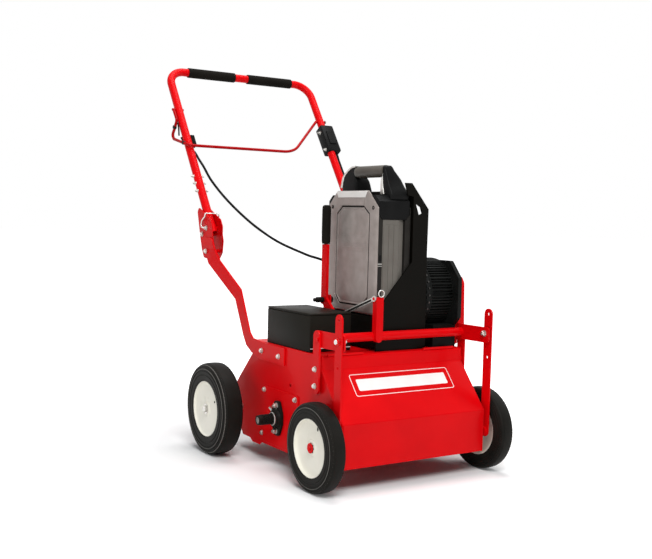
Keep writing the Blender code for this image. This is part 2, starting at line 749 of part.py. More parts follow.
# Rear axle and wheels.
REAR_DISC_R = 0.077
FRONT_DISC_R = 0.0719
WHEEL_STEPS = 32
REAR_TYRE_X = (SIDE_OUT + 0.0559, SIDE_OUT + 0.1169)
FRONT_TYRE_X = (SIDE_OUT + 0.0184, SIDE_OUT + 0.0604)
REAR_FACE = REAR_TYRE_X[1] - 0.006
FRONT_FACE = FRONT_TYRE_X[1] - 0.0097
BOLT_STEPS = ((0, 0.0100), (0.0085, 0.0100), (0.0085, 0.0050), (0.0150, 0.0045), (0.0150, 0.0028))
head = [(r, REAR_FACE + dx) for r, dx in (*BOLT_STEPS, (AXLE_R, 0.0026))]
axle_line = head + [(r, -x) for r, x in head[::-1]]
lathe("rear_axle", axle_line, (0, REAR_AXLE_Y, REAR_TYRE_R), ZINC, steps=16)


def wheel(name, side, axle, tyre_x, tyre_r, disc_x, disc_r, hub_x):
    """A rim with a flat web near its outer side, and a solid tyre round it."""
    inner, outer = tyre_x
    rim_out = disc_r - GAP
    rim = [
        (bore_r(AXLE_R, WHEEL_STEPS), hub_x),
        (0.0165, hub_x),
        (0.0165, disc_x - 0.0035),
        (rim_out - 0.004, disc_x - 0.0035),
        (rim_out - 0.004, inner + 0.003),
        (rim_out, inner + 0.003),
        (rim_out, outer - 0.002),
        (rim_out - 0.003, outer - 0.002),
        (rim_out - 0.005, disc_x),
        (bore_r(AXLE_R, WHEEL_STEPS), disc_x),
    ]
    middle, half = (inner + outer) / 2, (outer - inner) / 2
    wall = tyre_r - disc_r
    shape = [(0, 0.95), (0.30, 1.0), (0.66, 0.97), (0.90, 0.84), (1.0, 0.50)]
    tyre = [(disc_r + wall * up, middle + half * across) for up, across in shape]
    tyre += [(disc_r + wall * up, middle - half * across) for up, across in shape[::-1]]
    for kind, line, finish in (("rim_", rim, CREAM), ("tyre_", tyre, RUBBER)):
        line = [(r, side * x) for r, x in line]
        lathe(kind + name, line, (0, *axle), finish, steps=WHEEL_STEPS, closed=True)


FRONT_AXLE = (FRONT_AXLE_Y, FRONT_TYRE_R)
REAR_AXLE = (REAR_AXLE_Y, REAR_TYRE_R)
REAR_HUB = REAR_TYRE_X[0] - 0.009
FRONT_HUB = FRONT_TYRE_X[0] - 0.0015
for name, side in SIDES:
    wheel("rear_" + name, side, REAR_AXLE, REAR_TYRE_X, REAR_TYRE_R, REAR_FACE, REAR_DISC_R, REAR_HUB)
    wheel("front_" + name, side, FRONT_AXLE, FRONT_TYRE_X, FRONT_TYRE_R, FRONT_FACE, FRONT_DISC_R, FRONT_HUB)

# Front suspension: swing arm with stub axle, link bar, crank across the deck, brackets.
OPEN_EYE_R = 0.0075
BAR_HALF = 0.0145
BRACKET_Y = -0.2465
BRACKET_BOLT_Y = -0.2445
BRACKET_BOLTS_Z = (0.249, 0.291)
LINK_HOLES_Z = (0.4225, 0.3085)
STUB_STEPS = [
    (0, 0.0087),
    (0.006, 0.0087),
    (0.0075, 0.0052),
    (0.0125, 0.0047),
    (0.0125, 0.0030),
    (AXLE_R, 0.0028),
]
BOSS_R = 0.0120
for name, side in SIDES:
    x0, x1 = ARM_X
    arm = plate("swing_arm_" + name, capsule(ARM_PIVOT, LINK_PIN, 0.017, 6, 0.012), both(x0, x1, side), RED)
    stub = [(r, FRONT_FACE + dx) for r, dx in STUB_STEPS]
    stub += [(AXLE_R, FRONT_HUB - 0.0008), (BOSS_R, FRONT_HUB - 0.0010)]
    stub += [(BOSS_R, x0 + 0.001), (0, x0 + 0.001)]
    join(
        arm,
        rod("arm_pivot_pin_" + name, side * (SIDE_IN - 0.004), side * (x0 + 0.002), ARM_PIVOT, AXLE_R),
        rod("arm_link_pin_" + name, side * (x0 + 0.002), side * (LINK_X[1] + 0.0020), LINK_PIN, LINK_PIN_R),
        lathe("stub_axle_" + name, [(r, side * x) for r, x in stub], (0, *FRONT_AXLE), steps=16),
    )
    holes = [circle((LINK_Y, z), 0.004, 12) for z in LINK_HOLES_Z]
    holes += [circle(LINK_PIN, OPEN_EYE_R), bore(LINK_BOLT, LINK_PIN_R)]
    link_line = slab(LINK_Y, BAR_HALF, LINK_PIN[1], LINK_HOLES_Z[0])
    plate("link_bar_" + name, link_line, both(*LINK_X, side), RED, holes)
    bracket_line = slab(BRACKET_Y, BAR_HALF, BRACKET_BOLTS_Z[0] - 0.0065, CRANK[1] + 0.0065)
    bar = plate("pivot_bracket_" + name, bracket_line, both(*BRACKET_X, side), RED, [bore(CRANK, LINK_PIN_R)])
    for low, z in enumerate(BRACKET_BOLTS_Z):
        span = (side * (SIDE_OUT + GAP), side * (BRACKET_X[0] + 0.001))
        join(bar, rod("bracket_spacer_%s_%d" % (name, low), *span, (BRACKET_BOLT_Y, z), 0.009))

crank_end = CRANK_X[1] - 0.001
crank_line = [(0, crank_end), (CRANK_R, crank_end), (CRANK_R, -crank_end), (0, -crank_end)]
crank = lathe("crank_shaft", crank_line, (0, *CRANK), RED, steps=24)
ARM_FRONT = LINK_Y - 0.0135
arm_corners = [(ARM_FRONT, 0.3475), (ARM_FRONT, 0.3880), (-0.228, 0.3865), (-0.228, 0.3455)]
arm_line = rounded(arm_corners, 0.008, 2)
for name, side in SIDES:
    pin = [
        (0, LINK_X[1] + 0.0052),
        (0.0085, LINK_X[1] + 0.0052),
        (0.0085, LINK_X[1] + 0.0005),
        (LINK_PIN_R, LINK_X[1] + 0.0004),
        (LINK_PIN_R, LINK_X[0] - 0.0003),
        (0.010, LINK_X[0] - 0.0005),
        (0.010, CRANK_X[0] + 0.001),
        (0, CRANK_X[0] + 0.001),
    ]
    join(
        crank,
        plate("crank_arm_" + name, arm_line, both(*CRANK_X, side)),
        rod("crank_pivot_pin_" + name, side * CRANK_X[0], side * (BRACKET_X[1] + 0.0027), CRANK, LINK_PIN_R),
        lathe("crank_link_bolt_" + name, [(r, side * x) for r, x in pin], (0, *LINK_BOLT)),
    )
TAB_Y = (-0.272, -0.254)
TAB_MIDDLE = (TAB_X[0] + TAB_X[1]) / 2
TAB_HALF = (TAB_X[1] - TAB_X[0]) / 2
TAB_TOP = TAB_PIN[1] + 0.003
tab_line = [(TAB_X[0], TAB_TOP), (TAB_X[0], CRANK[1])]
for turn in range(30, 151, 30):
    angle = math.radians(turn)
    tab_line.append((TAB_MIDDLE - TAB_HALF * math.cos(angle), CRANK[1] - 0.0145 * math.sin(angle)))
tab_line += [(TAB_X[1], CRANK[1]), (TAB_X[1], TAB_TOP)]
join(
    crank,
    plate("crank_tab", tab_line, TAB_Y, None, (), "y"),
    rod("tab_pin", LIFT_X[0] - 0.0010, TAB_X[0] + 0.0010, TAB_PIN, SMALL_PIN_R),
)
RING_R = 0.0085
RING_AT = (BATTERY_X[0] - RING_R - 0.0020, TAB_TOP + RING_R + 0.0020)
ring = bpy.data.curves.new("crank_ring", "CURVE")
ring.dimensions = "3D"
ring.bevel_depth = 0.0015
ring.bevel_resolution = 1
loop = ring.splines.new("POLY")
loop.points.add(15)
loop.use_cyclic_u = True
for point, (x, z) in zip(loop.points, circle(RING_AT, RING_R, 16)):
    point.co = (x, TAB_Y[0] - 0.0020, z, 1)
add("crank_ring", ring, ZINC)

# Depth lever beside the battery, its bracket, knob and lift link.
BLADE_HALF = 0.0125
BLADE_TOP = 0.5925
TANG_HALF = 0.0050
LEVER_MIDDLE = (LEVER_X[0] + LEVER_X[1]) / 2
blade = [
    (LEVER[0] - BLADE_HALF, LEVER[1] - 0.012),
    (LEVER[0] + BLADE_HALF, LEVER[1] - 0.012),
    (LEVER[0] + BLADE_HALF, BLADE_TOP),
    (LEVER[0] - BLADE_HALF, BLADE_TOP),
]
lever = plate("depth_lever", blade, LEVER_X, RED, [bore(LEVER, PIN_R)])
lower = plate("lever_lower", capsule(LEVER, LEVER_PIN, BLADE_HALF, 6, 0.010), LEVER_X)
lever_bore = rod("lever_bore", LEVER_X[0] - 0.01, LEVER_X[1] + 0.01, LEVER, bore_r(PIN_R, 14), steps=14)
tang = (LEVER_X[0] + 0.001, LEVER[0] - TANG_HALF, BLADE_TOP - 0.0025)
join(
    lever,
    cut(lower, lever_bore),
    rod("lever_pin", LEVER_X[1] - 0.002, LIFT_X[1] - 0.0002, LEVER_PIN, SMALL_PIN_R),
    box("lever_tang", tang, (LEVER_X[1] - 0.001, LEVER[0] + TANG_HALF, BLADE_TOP + 0.0875)),
)
GRIP_STEPS = [
    (0, 0.1065),
    (0.0075, 0.1060),
    (0.0115, 0.1015),
    (0.0120, 0.0675),
    (0.0120, 0.0125),
    (0.0105, 0.0005),
    (0, 0.0005),
]
grip_line = [(r, BLADE_TOP + dz) for r, dz in GRIP_STEPS]
grip = lathe("lever_grip", grip_line, (LEVER_MIDDLE, LEVER[0], 0), BLACK, "z", 24)
socket_low = (LEVER_X[0] + 0.0007, LEVER[0] - TANG_HALF - GAP, BLADE_TOP - 0.0075)
socket_high = (LEVER_X[1] - 0.0007, LEVER[0] + TANG_HALF + GAP, BLADE_TOP + 0.0878)
cut(grip, box("tang_socket", socket_low, socket_high))
FOOT_Y = (-0.062, -0.012)
bracket_line = [
    (FOOT_Y[0], DECK_TOP + GAP),
    (FOOT_Y[1], DECK_TOP + GAP),
    (LEVER[0] + 0.0145, LEVER[1] + 0.014),
    (LEVER[0] - 0.0145, LEVER[1] + 0.014),
]
bracket = plate("lever_bracket", bracket_line, LEVER_BRACKET_X, RED, [bore(LEVER, PIN_R)])
foot_low = (LEVER_BRACKET_X[0] + 0.001, FOOT_Y[0], DECK_TOP + GAP)
join(bracket, box("lever_foot", foot_low, (-0.0560, FOOT_Y[1], DECK_TOP + 0.0045)))
inner, outer = LEVER_BRACKET_X[1] + GAP, LEVER_X[0] - GAP
knob = [
    (0, inner + 0.011),
    (0.0090, inner + 0.011),
    (0.0090, inner),
    (PIN_R, inner - 0.0002),
    (PIN_R, outer),
    (0.0075, outer - 0.0002),
    (0.0075, outer - 0.0217),
    (PIN_R, outer - 0.0222),
    (PIN_R, outer - 0.0307),
    (0, outer - 0.0307),
]
lathe("lever_knob", knob, (0, *LEVER), BLACK)
LIFT_HALF = 0.0048
LIFT_EYE_R = 0.0089
link_line = eyed_bar(TAB_PIN, LEVER_PIN, LIFT_HALF, 0.0075, LIFT_EYE_R + 0.0040)
plate("lift_link", link_line, LIFT_X, ZINC, [bore(TAB_PIN, SMALL_PIN_R), circle(LEVER_PIN, LIFT_EYE_R)])

# Lower handle bars: one bent strip each, from a flat foot on the side plate to the fold bracket.
STRIP_T = 0.005
FOOT_X = SIDE_OUT + GAP + STRIP_T / 2
BAR_FOOT = [
    (-0.0800, 0.3215),
    (-0.0800, 0.2740),
    (0.0600, 0.2760),
    (0.1032, 0.2874),
    (0.1338, 0.3031),
    (0.1531, 0.3290),
    (0.2065, 0.4265),
    (0.1735, 0.4560),
    (0.1144, 0.3420),
    (0.0961, 0.3274),
    (0.0297, 0.3225),
]
BEND = (6, 7)
STRIP = [
    ((LEG_X + 0.0225, 0.2718, 0.5257), (LEG_X + 0.0120, 0.2197, 0.5354)),
    ((LEG_X + 0.0215, 0.3026, 0.5678), (LEG_X + 0.0215, 0.2380, 0.5705)),
    ((LEG_X + 0.0215, 0.3140, 0.5860), (LEG_X + 0.0215, 0.2490, 0.5905)),
    ((LEG_X + 0.0215, 0.3040, 0.5980), (LEG_X + 0.0215, 0.2640, 0.5985)),
]
for name, side in SIDES:
    bm = bmesh.new()
    foot = [bm.verts.new((side * FOOT_X, *point)) for point in BAR_FOOT]
    bm.faces.new(foot)
    row = (foot[BEND[0]], foot[BEND[1]])
    for rear_point, front_point in STRIP:
        new_row = tuple(bm.verts.new((side * x, y, z)) for x, y, z in (rear_point, front_point))
        bm.faces.new((row[0], row[1], new_row[1], new_row[0]))
        row = new_row
    strip = from_bmesh("lower_bar_" + name, bm, RED)
    thick = strip.modifiers.new("sheet", "SOLIDIFY")
    thick.thickness = STRIP_T
    thick.offset = 0
    thick.use_even_offset = True
    strip = baked(strip)
    cut(strip, rod("bar_bolt_hole_" + name, side * LEG_X, side * (LEG_X + 0.04), BAR_BOLT, bore_r(PIN_R, 12)))

# Fold brackets: two cheeks, a back web and the cross bolts.
CHEEK_GAP = (TUBE_R + 0.0020, TUBE_R + 0.0045)
PLATES_X = (LEG_X - CHEEK_GAP[1], LEG_X - CHEEK_GAP[0], LEG_X + CHEEK_GAP[0], LEG_X + CHEEK_GAP[1])
FOLD_LINE = [
    (0.277, 0.652),
    (0.264, 0.632),
    (0.264, 0.610),
    (0.257, 0.590),
    (0.262, 0.556),
    (0.281, 0.536),
    (0.318, 0.540),
    (0.333, 0.565),
    (0.342, 0.590),
    (0.366, 0.672),
    (0.358, 0.686),
]
WEB = ((0.0135, 0.0135), (0.0560, 0.0135), (0.0560, 0.0165), (0.0135, 0.0165))
LEG_WAY = Vector((LEG_SLOPE, 1)).normalized()
LEG_BACK = Vector((LEG_WAY.y, -LEG_WAY.x))
LOCK_R = 0.0024
LOCK_X = (LEG_X - 0.0225, LEG_X + 0.0225)
LOCK_SIDE = [FOLD, (0.322, 0.628), (0.3289, 0.6341), (0.322, 0.648), (0.3025, 0.660), (0.3033, 0.6684)]
for name, side in SIDES:
    cheek_line = rounded(FOLD_LINE, 0.008, 2)
    web = [tuple(Vector(FOLD) + LEG_WAY * along + LEG_BACK * back) for along, back in WEB]
    ends = (side * (PLATES_X[0] - 0.0020), side * (PLATES_X[3] + 0.0020))
    join(
        plate("fold_bracket_" + name, cheek_line, both(*PLATES_X[:2], side), RED),
        plate("fold_outer_" + name, cheek_line, both(*PLATES_X[2:], side)),
        plate("fold_web_" + name, web, both(PLATES_X[0] + 0.001, PLATES_X[3] - 0.001, side)),
        rod("fold_pivot_" + name, side * (PLATES_X[0] - 0.0015), side * (PLATES_X[3] + 0.0015), FOLD, PIN_R),
        rod("fold_back_bolt_" + name, *ends, BACK_BOLT, PIN_R),
        rod("fold_bar_bolt_" + name, ends[0], side * (LEG_X + 0.0275), BAR_BOLT, PIN_R),
    )
    near, far = (side * x for x in LOCK_X)
    route = [(side * (PLATES_X[0] - 0.0022), *FOLD)] + [(near, *point) for point in LOCK_SIDE]
    route += [(far, *point) for point in LOCK_SIDE[::-1]] + [(side * (PLATES_X[3] + 0.0022), *FOLD)]
    tube("wire_lock_" + name, bent(route, 0.006, 2), LOCK_R, ZINC, 1)

# Upper handle: one bent tube, open at its lower ends.
TAIL = Vector(FOLD) - LEG_WAY * 0.018
top_y, top_z = CROSSBAR
handle_path = []
for side in (-1, 1):
    ends = [(side * LEG_X, *TAIL), (side * LEG_X, top_y, top_z)]
    handle_path += ends if side < 0 else ends[::-1]
upper = tube("upper_handle", bent(handle_path, 0.055, 6), TUBE_R, RED, 2, caps=False, bake=False)
upper = baked(upper)
hollow = upper.modifiers.new("wall", "SOLIDIFY")
hollow.thickness = 0.0016
hollow.offset = -1
upper = baked(upper)
for name, side in SIDES:
    across = (side * (LEG_X - 0.02), side * (LEG_X + 0.02))
    cut(
        upper,
        rod("fold_bore_" + name, *across, FOLD, bore_r(PIN_R, 12)),
        rod("bail_bore_" + name, *across, BAIL, bore_r(SMALL_PIN_R, 12)),
    )
GRIP_X = (0.024, LEG_X - 0.069)
for name, side in SIDES:
    x0, x1 = both(*GRIP_X, side)
    hole = bore_r(TUBE_R, 24)
    grip_line = [
        (hole, x0),
        (GRIP_R - 0.001, x0),
        (GRIP_R, x0 + 0.004),
        (GRIP_R, x1 - 0.004),
        (GRIP_R - 0.001, x1),
        (hole, x1),
    ]
    lathe("crossbar_grip_" + name, grip_line, (0, *CROSSBAR), RUBBER, steps=24, closed=True)

# Bail: one bent rod with a pin at each leg, and a hook outside the right leg.
BAIL_R = 0.0045
HOOK_X = -(LEG_X + TUBE_R + BAIL_R + 0.0007)
BAIL_CORNER = (0.098, *BAIL_REST)
HOOK = [
    (-(LEG_X + 0.009), 0.4480, BAIL_REST[1]),
    (HOOK_X - 0.0010, 0.4640, 0.8785),
    (HOOK_X, 0.5465, 0.8959),
    (HOOK_X, 0.5586, 0.9089),
    (HOOK_X, 0.5437, 0.9265),
    (HOOK_X, 0.5255, 0.9528),
    (HOOK_X, *BAIL),
]
bail_path = bent([(LEG_X - 0.0175, *BAIL), BAIL_CORNER, (-0.200, *BAIL_REST)], 0.087, 6)[:-1]
bail_path += bent([(-0.200, *BAIL_REST), *HOOK], 0.008, 3)
bail = tube("bail", bail_path, BAIL_R, RED)
join(
    bail,
    rod("bail_pin_right", HOOK_X - 0.005, -(LEG_X - 0.015), BAIL, SMALL_PIN_R),
    rod("bail_pin_left", LEG_X - 0.019, LEG_X + 0.017, BAIL, SMALL_PIN_R),
)

# Switch box on the left leg, with its lead.
SWITCH_Z = 0.9235
SWITCH_HALF = 0.0535
switch_at = Vector((0, *leg(SWITCH_Z)))
lean = math.atan(LEG_SLOPE)
switch_low = (LEG_X - 0.0155, -0.0160, -SWITCH_HALF)
switch = box("switch_box", switch_low, (LEG_X + 0.0330, 0.0215, SWITCH_HALF), BLACK, 0.004)
hole = bore_r(TUBE_R, 24)
bore_line = [(0, 0.07), (hole, 0.07), (hole, -0.07), (0, -0.07)]
leg_hole = lathe("switch_bore", bore_line, (LEG_X, 0, 0), None, "z", 24)
switch.location = switch_at
switch.rotation_euler = (-lean, 0, 0)
leg_hole.location = switch_at + Vector((LEG_X, 0, 0))
leg_hole.rotation_euler = (-lean, 0, 0)
cut(switch, leg_hole)

LEAD_R = 0.006
LEAD_OUT = TUBE_R + LEAD_R + 0.0005
LEAD_Z = (SWITCH_Z - (SWITCH_HALF + GAP) * LEG_WAY.y - 0.0010, 0.705)


def beside_leg(z, dx, back):
    """A point beside the left leg, dx outside its middle line and back behind it."""
    y, height = leg(z)
    return (LEG_X + dx, y + back * LEG_BACK.x, height + back * LEG_BACK.y)


lead = [beside_leg(z, LEAD_OUT, 0.001) for z in (LEAD_Z[0], (LEAD_Z[0] + LEAD_Z[1]) / 2, LEAD_Z[1])]
tube("switch_lead", lead, LEAD_R, RUBBER, 2)

# Clutch cable from behind the right leg, inside the bail's hook, to its stop on the deck.
CABLE_R = 0.0037
CABLE = [
    (-0.2680, 0.5098, 0.8995),
    (-0.2600, 0.5012, 0.8820),
    (-0.2480, 0.4910, 0.8650),
    (-0.2361, 0.4820, 0.8554),
    (-0.2344, 0.4520, 0.8315),
    (-0.2310, 0.4250, 0.8087),
    (-0.2190, 0.4020, 0.7720),
    (-0.1955, 0.3830, 0.7340),
    (-0.1725, 0.3610, 0.7010),
    (-0.1495, 0.3390, 0.6720),
    (-0.1270, 0.3170, 0.6460),
    (-0.1040, 0.2950, 0.6230),
    (-0.0815, 0.2730, 0.6030),
    (-0.0590, 0.2510, 0.5860),
    (-0.0370, 0.2300, 0.5730),
    (-0.0150, 0.2080, 0.5610),
    (0.0070, 0.1870, 0.5500),
    (0.0290, 0.1660, 0.5420),
    (0.0800, 0.1230, 0.5200),
    (0.1350, 0.0830, 0.4850),
    (0.1750, 0.0640, 0.4350),
    (STOP_X, 0.0620, 0.3900),
    (STOP_X, 0.0620, 0.3680),
]


def smooth(points, per_span):
    """A Catmull-Rom curve through the points."""
    made = []
    points = [Vector(point) for point in points]
    ends = [points[0] * 2 - points[1]] + points + [points[-1] * 2 - points[-2]]
    for a, b, c, d in zip(ends, ends[1:], ends[2:], ends[3:]):
        for step in range(per_span):
            t = step / per_span
            bend = (a * 2 - b * 5 + c * 4 - d) * t * t + (b * 3 - a - c * 3 + d) * t**3
            made.append((b * 2 + (c - a) * t + bend) / 2)
    return made + [points[-1]]


tube("clutch_cable", smooth(CABLE, 2), CABLE_R, RUBBER, 1)
STOP_Y = (0.0480, 0.0760)
STOP_Z = 0.3610
for name, half, y0, y1, z0, z1 in (
    ("foot", 0.016, STOP_Y[0], STOP_Y[1], DECK_TOP - 0.001, DECK_TOP + 0.0035),
    ("wall", 0.004, STOP_Y[0], STOP_Y[0] + 0.006, DECK_TOP + 0.001, STOP_Z + 0.003),
    ("top", 0.008, STOP_Y[0] + 0.002, STOP_Y[1] - 0.004, STOP_Z, STOP_Z + 0.006),
):
    join(deck, box("stop_" + name, (STOP_X - half, y0, z0), (STOP_X + half, y1, z1)))

# Each moving group hangs from an empty on its joint's axis.
AXES = {
    "rotor_axis": (ROTOR, ("knife_reel", "rotor_pulley")),
    "motor_axis": (MOTOR, ("motor_pulley",)),
    "idler_axis": (IDLER_PIVOT, ("idler_arm",)),
    "idler_wheel_axis": (IDLER_WHEEL, ("idler_pulley",)),
    "crank_axis": (CRANK, ("crank_shaft", "crank_ring")),
    "lever_axis": (LEVER, ("depth_lever", "lever_grip")),
    "lift_axis": (TAB_PIN, ("lift_link",)),
    "arm_axis": (ARM_PIVOT, ("swing_arm_right", "swing_arm_left")),
    "link_axis": (LINK_BOLT, ("link_bar_right", "link_bar_left")),
    "front_wheel_axis": (
        FRONT_AXLE,
        ("tyre_front_right", "rim_front_right", "tyre_front_left", "rim_front_left"),
    ),
    "rear_wheel_axis": (
        REAR_AXLE,
        ("tyre_rear_right", "rim_rear_right", "tyre_rear_left", "rim_rear_left"),
    ),
    "fold_axis": (
        FOLD,
        ("upper_handle", "crossbar_grip_right", "crossbar_grip_left", "switch_box", "switch_lead"),
    ),
    "lock_axis": (FOLD, ("wire_lock_right", "wire_lock_left")),
    "bail_axis": (BAIL, ("bail",)),
}
for name, (place, nodes) in AXES.items():
    axis = bpy.data.objects.new(name, None)
    axis.location = (0, *place)
    axis.parent = datum
    parts.objects.link(axis)
    for node in nodes:
        parts.objects[node].parent = axis
        parts.objects[node].matrix_parent_inverse = Matrix.Translation((0, -place[0], -place[1]))
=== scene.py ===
# %% [markdown]
# # A walk-behind electric scarifier
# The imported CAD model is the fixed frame, and this lesson dresses it. Flat plates keep their CAD shape
# and only get rounded edges, while round, moulded and bent pieces are worked out again as smooth
# surfaces. All sizes are metres, written from the machine's own datum, with the front axle at
# y = -0.300, and MIDDLE moves them to the frame, which has y = 0 at the middle of the length.

import json
import math

import bmesh
import bpy
import numpy as np
from mathutils import Matrix, Vector


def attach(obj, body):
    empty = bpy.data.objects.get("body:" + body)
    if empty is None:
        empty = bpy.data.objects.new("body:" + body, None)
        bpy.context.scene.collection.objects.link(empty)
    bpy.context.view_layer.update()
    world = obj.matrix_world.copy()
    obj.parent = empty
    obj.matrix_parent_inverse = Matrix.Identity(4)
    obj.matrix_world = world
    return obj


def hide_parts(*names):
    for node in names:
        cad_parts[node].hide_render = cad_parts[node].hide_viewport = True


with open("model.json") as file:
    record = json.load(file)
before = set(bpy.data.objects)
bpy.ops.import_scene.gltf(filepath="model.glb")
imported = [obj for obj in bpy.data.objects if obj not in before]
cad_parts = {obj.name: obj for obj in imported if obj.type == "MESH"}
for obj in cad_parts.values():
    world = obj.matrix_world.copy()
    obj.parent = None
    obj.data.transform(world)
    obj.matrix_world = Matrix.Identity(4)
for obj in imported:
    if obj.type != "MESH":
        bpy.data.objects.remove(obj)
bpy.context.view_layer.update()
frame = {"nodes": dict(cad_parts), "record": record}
MIDDLE = -0.1246
BODY_OF = {node: body for body, nodes in frame["record"]["behaviour"]["bodies"].items() for node in nodes}
SLOT_OF = {row["node"]: row["material_slot"] for row in frame["record"]["subparts"]}
SIDES = (("right", -1), ("left", 1))

# %% [markdown]
# The camera stands where the photographer stood: left of the front, a little over half the machine's
# height, and looking down slightly. Its three axes were solved from the wheels and the deck's edges,
# and the focal length is written as a lens on a 36 mm sensor.

# %% Camera
CAMERA_AT = (-1.4718, -2.2318 + MIDDLE, 0.6663)
CAMERA_AXES = ((0.84456, -0.53490, 0.02469), (0.01404, 0.06822, 0.99757), (-0.5353, -0.8422, 0.0651))
view = bpy.data.cameras.new("view")
view.sensor_width = 36
view.lens = 52.83
camera = bpy.data.objects.new("camera", view)
turned_to = Matrix(CAMERA_AXES).transposed().to_4x4()
camera.matrix_world = Matrix.Translation(CAMERA_AT) @ turned_to
bpy.context.scene.collection.objects.link(camera)
bpy.context.scene.camera = camera
bpy.context.scene.view_settings.view_transform = "Standard"
print("camera with a", round(view.lens, 2), "mm lens")

# %% [markdown]
# Every surface below is a grid of points, stations along it times points around it, that is computed
# as one array. Blender could make such shapes with Screw and Curve objects, but a grid says exactly
# where each point lies. The helpers turn grids into closed meshes, and the first two give lathe work.

# %% Grids and lathe work
def skin(rows, loop=False, caps=True):
    """Quads over a grid: rows[i, j] joins its neighbours, j always wraps round, and i does in a loop.
    Without a loop, each open end is closed by one flat face."""
    count, around = rows.shape[:2]
    index = np.arange(count * around).reshape(count, around)
    grid = np.concatenate([index, index[:, :1]], axis=1)
    grid = np.concatenate([grid, grid[:1]], axis=0) if loop else grid
    quads = np.stack([grid[:-1, :-1], grid[:-1, 1:], grid[1:, 1:], grid[1:, :-1]], axis=-1)
    ends = [index[0][::-1], index[-1]] if caps and not loop else []
    return rows.reshape(-1, 3), quads.reshape(-1, 4), ends


def turned(profile, centre, axis="x", steps=64, loop=False, swell=None):
    """A lathe: P(i, t) = centre + along(i) on the axis + radius(i) * (cos t, sin t) across it.
    swell(along, t) may add to the radius."""
    radius, along = np.array(profile, float).T
    angle = np.linspace(0, 2 * np.pi, steps, endpoint=False)
    r = np.repeat(radius[:, None], steps, axis=1)
    if swell is not None:
        r = r + swell(along[:, None], angle[None])
    a = np.repeat(along[:, None], steps, axis=1)
    c, s = r * np.cos(angle), r * np.sin(angle)
    order = {"x": (a, c, s), "y": (c, a, s), "z": (c, s, a)}[axis]
    rows = np.stack(order, axis=-1) + np.array(centre, float)
    return skin(rows, loop=loop, caps=radius[0] > 1e-6)


print("a washer has", len(turned([(0.004, 0), (0.008, 0)], (0, 0, 0))[1]), "faces round it")

# %% [markdown]
# Tubes and wire are a section carried along a path. The section has to keep upright on the way, so
# each station gets its own side and top directions from the path and one fixed up vector. Bends are
# true arcs, because a tube bender makes arcs.

# %% Tubes and bends
def unit(vectors):
    """Vectors over their lengths."""
    return vectors / np.linalg.norm(vectors, axis=-1, keepdims=True)


def carried(path, section, up, loop=False, way=None):
    """A section carried along a path: P(i, j) = path(i) + a(i, j) * side(i) + b(i, j) * top(i), where
    side is across both the path and up, and top is across the path and side."""
    path = np.array(path, float)
    if way is None:
        steps = unit(np.diff(path, axis=0, append=path[:1]))
        if not loop:
            steps[-1] = steps[-2]
        before = np.roll(steps, 1, axis=0)
        if not loop:
            before[0] = steps[0]
        way = unit(steps + before)
    side = unit(np.cross(way, np.array(up, float)))
    top = np.cross(side, way)
    section = np.array(section, float)
    section = section[None] if section.ndim == 2 else section
    rows = path[:, None] + section[..., :1] * side[:, None] + section[..., 1:] * top[:, None]
    return skin(rows, loop=loop)


def circle(radius, steps=16, centre=(0, 0)):
    """Points (cos t, sin t) * radius round a centre."""
    angle = np.linspace(0, 2 * np.pi, steps, endpoint=False)
    return np.stack([np.cos(angle), np.sin(angle)], axis=-1) * radius + np.array(centre)


def fillet(points, radius, steps=8, closed=False):
    """The path with each corner as an arc that touches both sides: its centre is on the bisector, and
    the points between its ends are spread by equal angles."""
    points = [np.array(point, float) for point in points]
    made = []
    for i, here in enumerate(points):
        if not closed and i in (0, len(points) - 1):
            made.append(here[None])
            continue
        into, out = points[i - 1] - here, points[(i + 1) % len(points)] - here
        limit = 0.49 * min(np.linalg.norm(into), np.linalg.norm(out))
        into, out = unit(into), unit(out)
        half = math.acos(np.clip(into @ out, -1, 1)) / 2
        if half > 1.55:
            made.append(here[None])
            continue
        reach = min(radius / math.tan(half), limit)
        middle = here + unit(into + out) * (reach / math.cos(half))
        start, end = here + into * reach - middle, here + out * reach - middle
        turn = math.pi - 2 * half
        t = np.linspace(0, 1, steps + 1)[:, None]
        made.append(middle + (start * np.sin((1 - t) * turn) + end * np.sin(t * turn)) / math.sin(turn))
    return np.concatenate(made)


print("a 16-sided ring of 25 mm has sides of", round(1000 * math.pi * 0.025 / 16, 1), "mm")

# %% [markdown]
# Flat stock is an outline at both ends of a span. Small square stock is a box of the same kind, and a
# Bevel modifier rounds its edges later.

# %% Flat stock
def prism(outline, span, axis="x"):
    """Flat stock: the outline at both ends of its span along the axis."""
    outline = np.array(outline, float)
    level = np.repeat(np.array(span, float)[:, None], len(outline), axis=1)
    u, v = np.broadcast_to(outline[:, 0], level.shape), np.broadcast_to(outline[:, 1], level.shape)
    order = {"x": (level, u, v), "y": (u, level, v), "z": (u, v, level)}[axis]
    return skin(np.stack(order, axis=-1))


def block(low, high):
    """A box between two corners, for small square stock whose edges a Bevel rounds."""
    corners = [(low[0], low[1]), (high[0], low[1]), (high[0], high[1]), (low[0], high[1])]
    return prism(corners, (low[2], high[2]), "z")


print("a block has", len(block((0, 0, 0), (1, 1, 1))[0]), "corners")
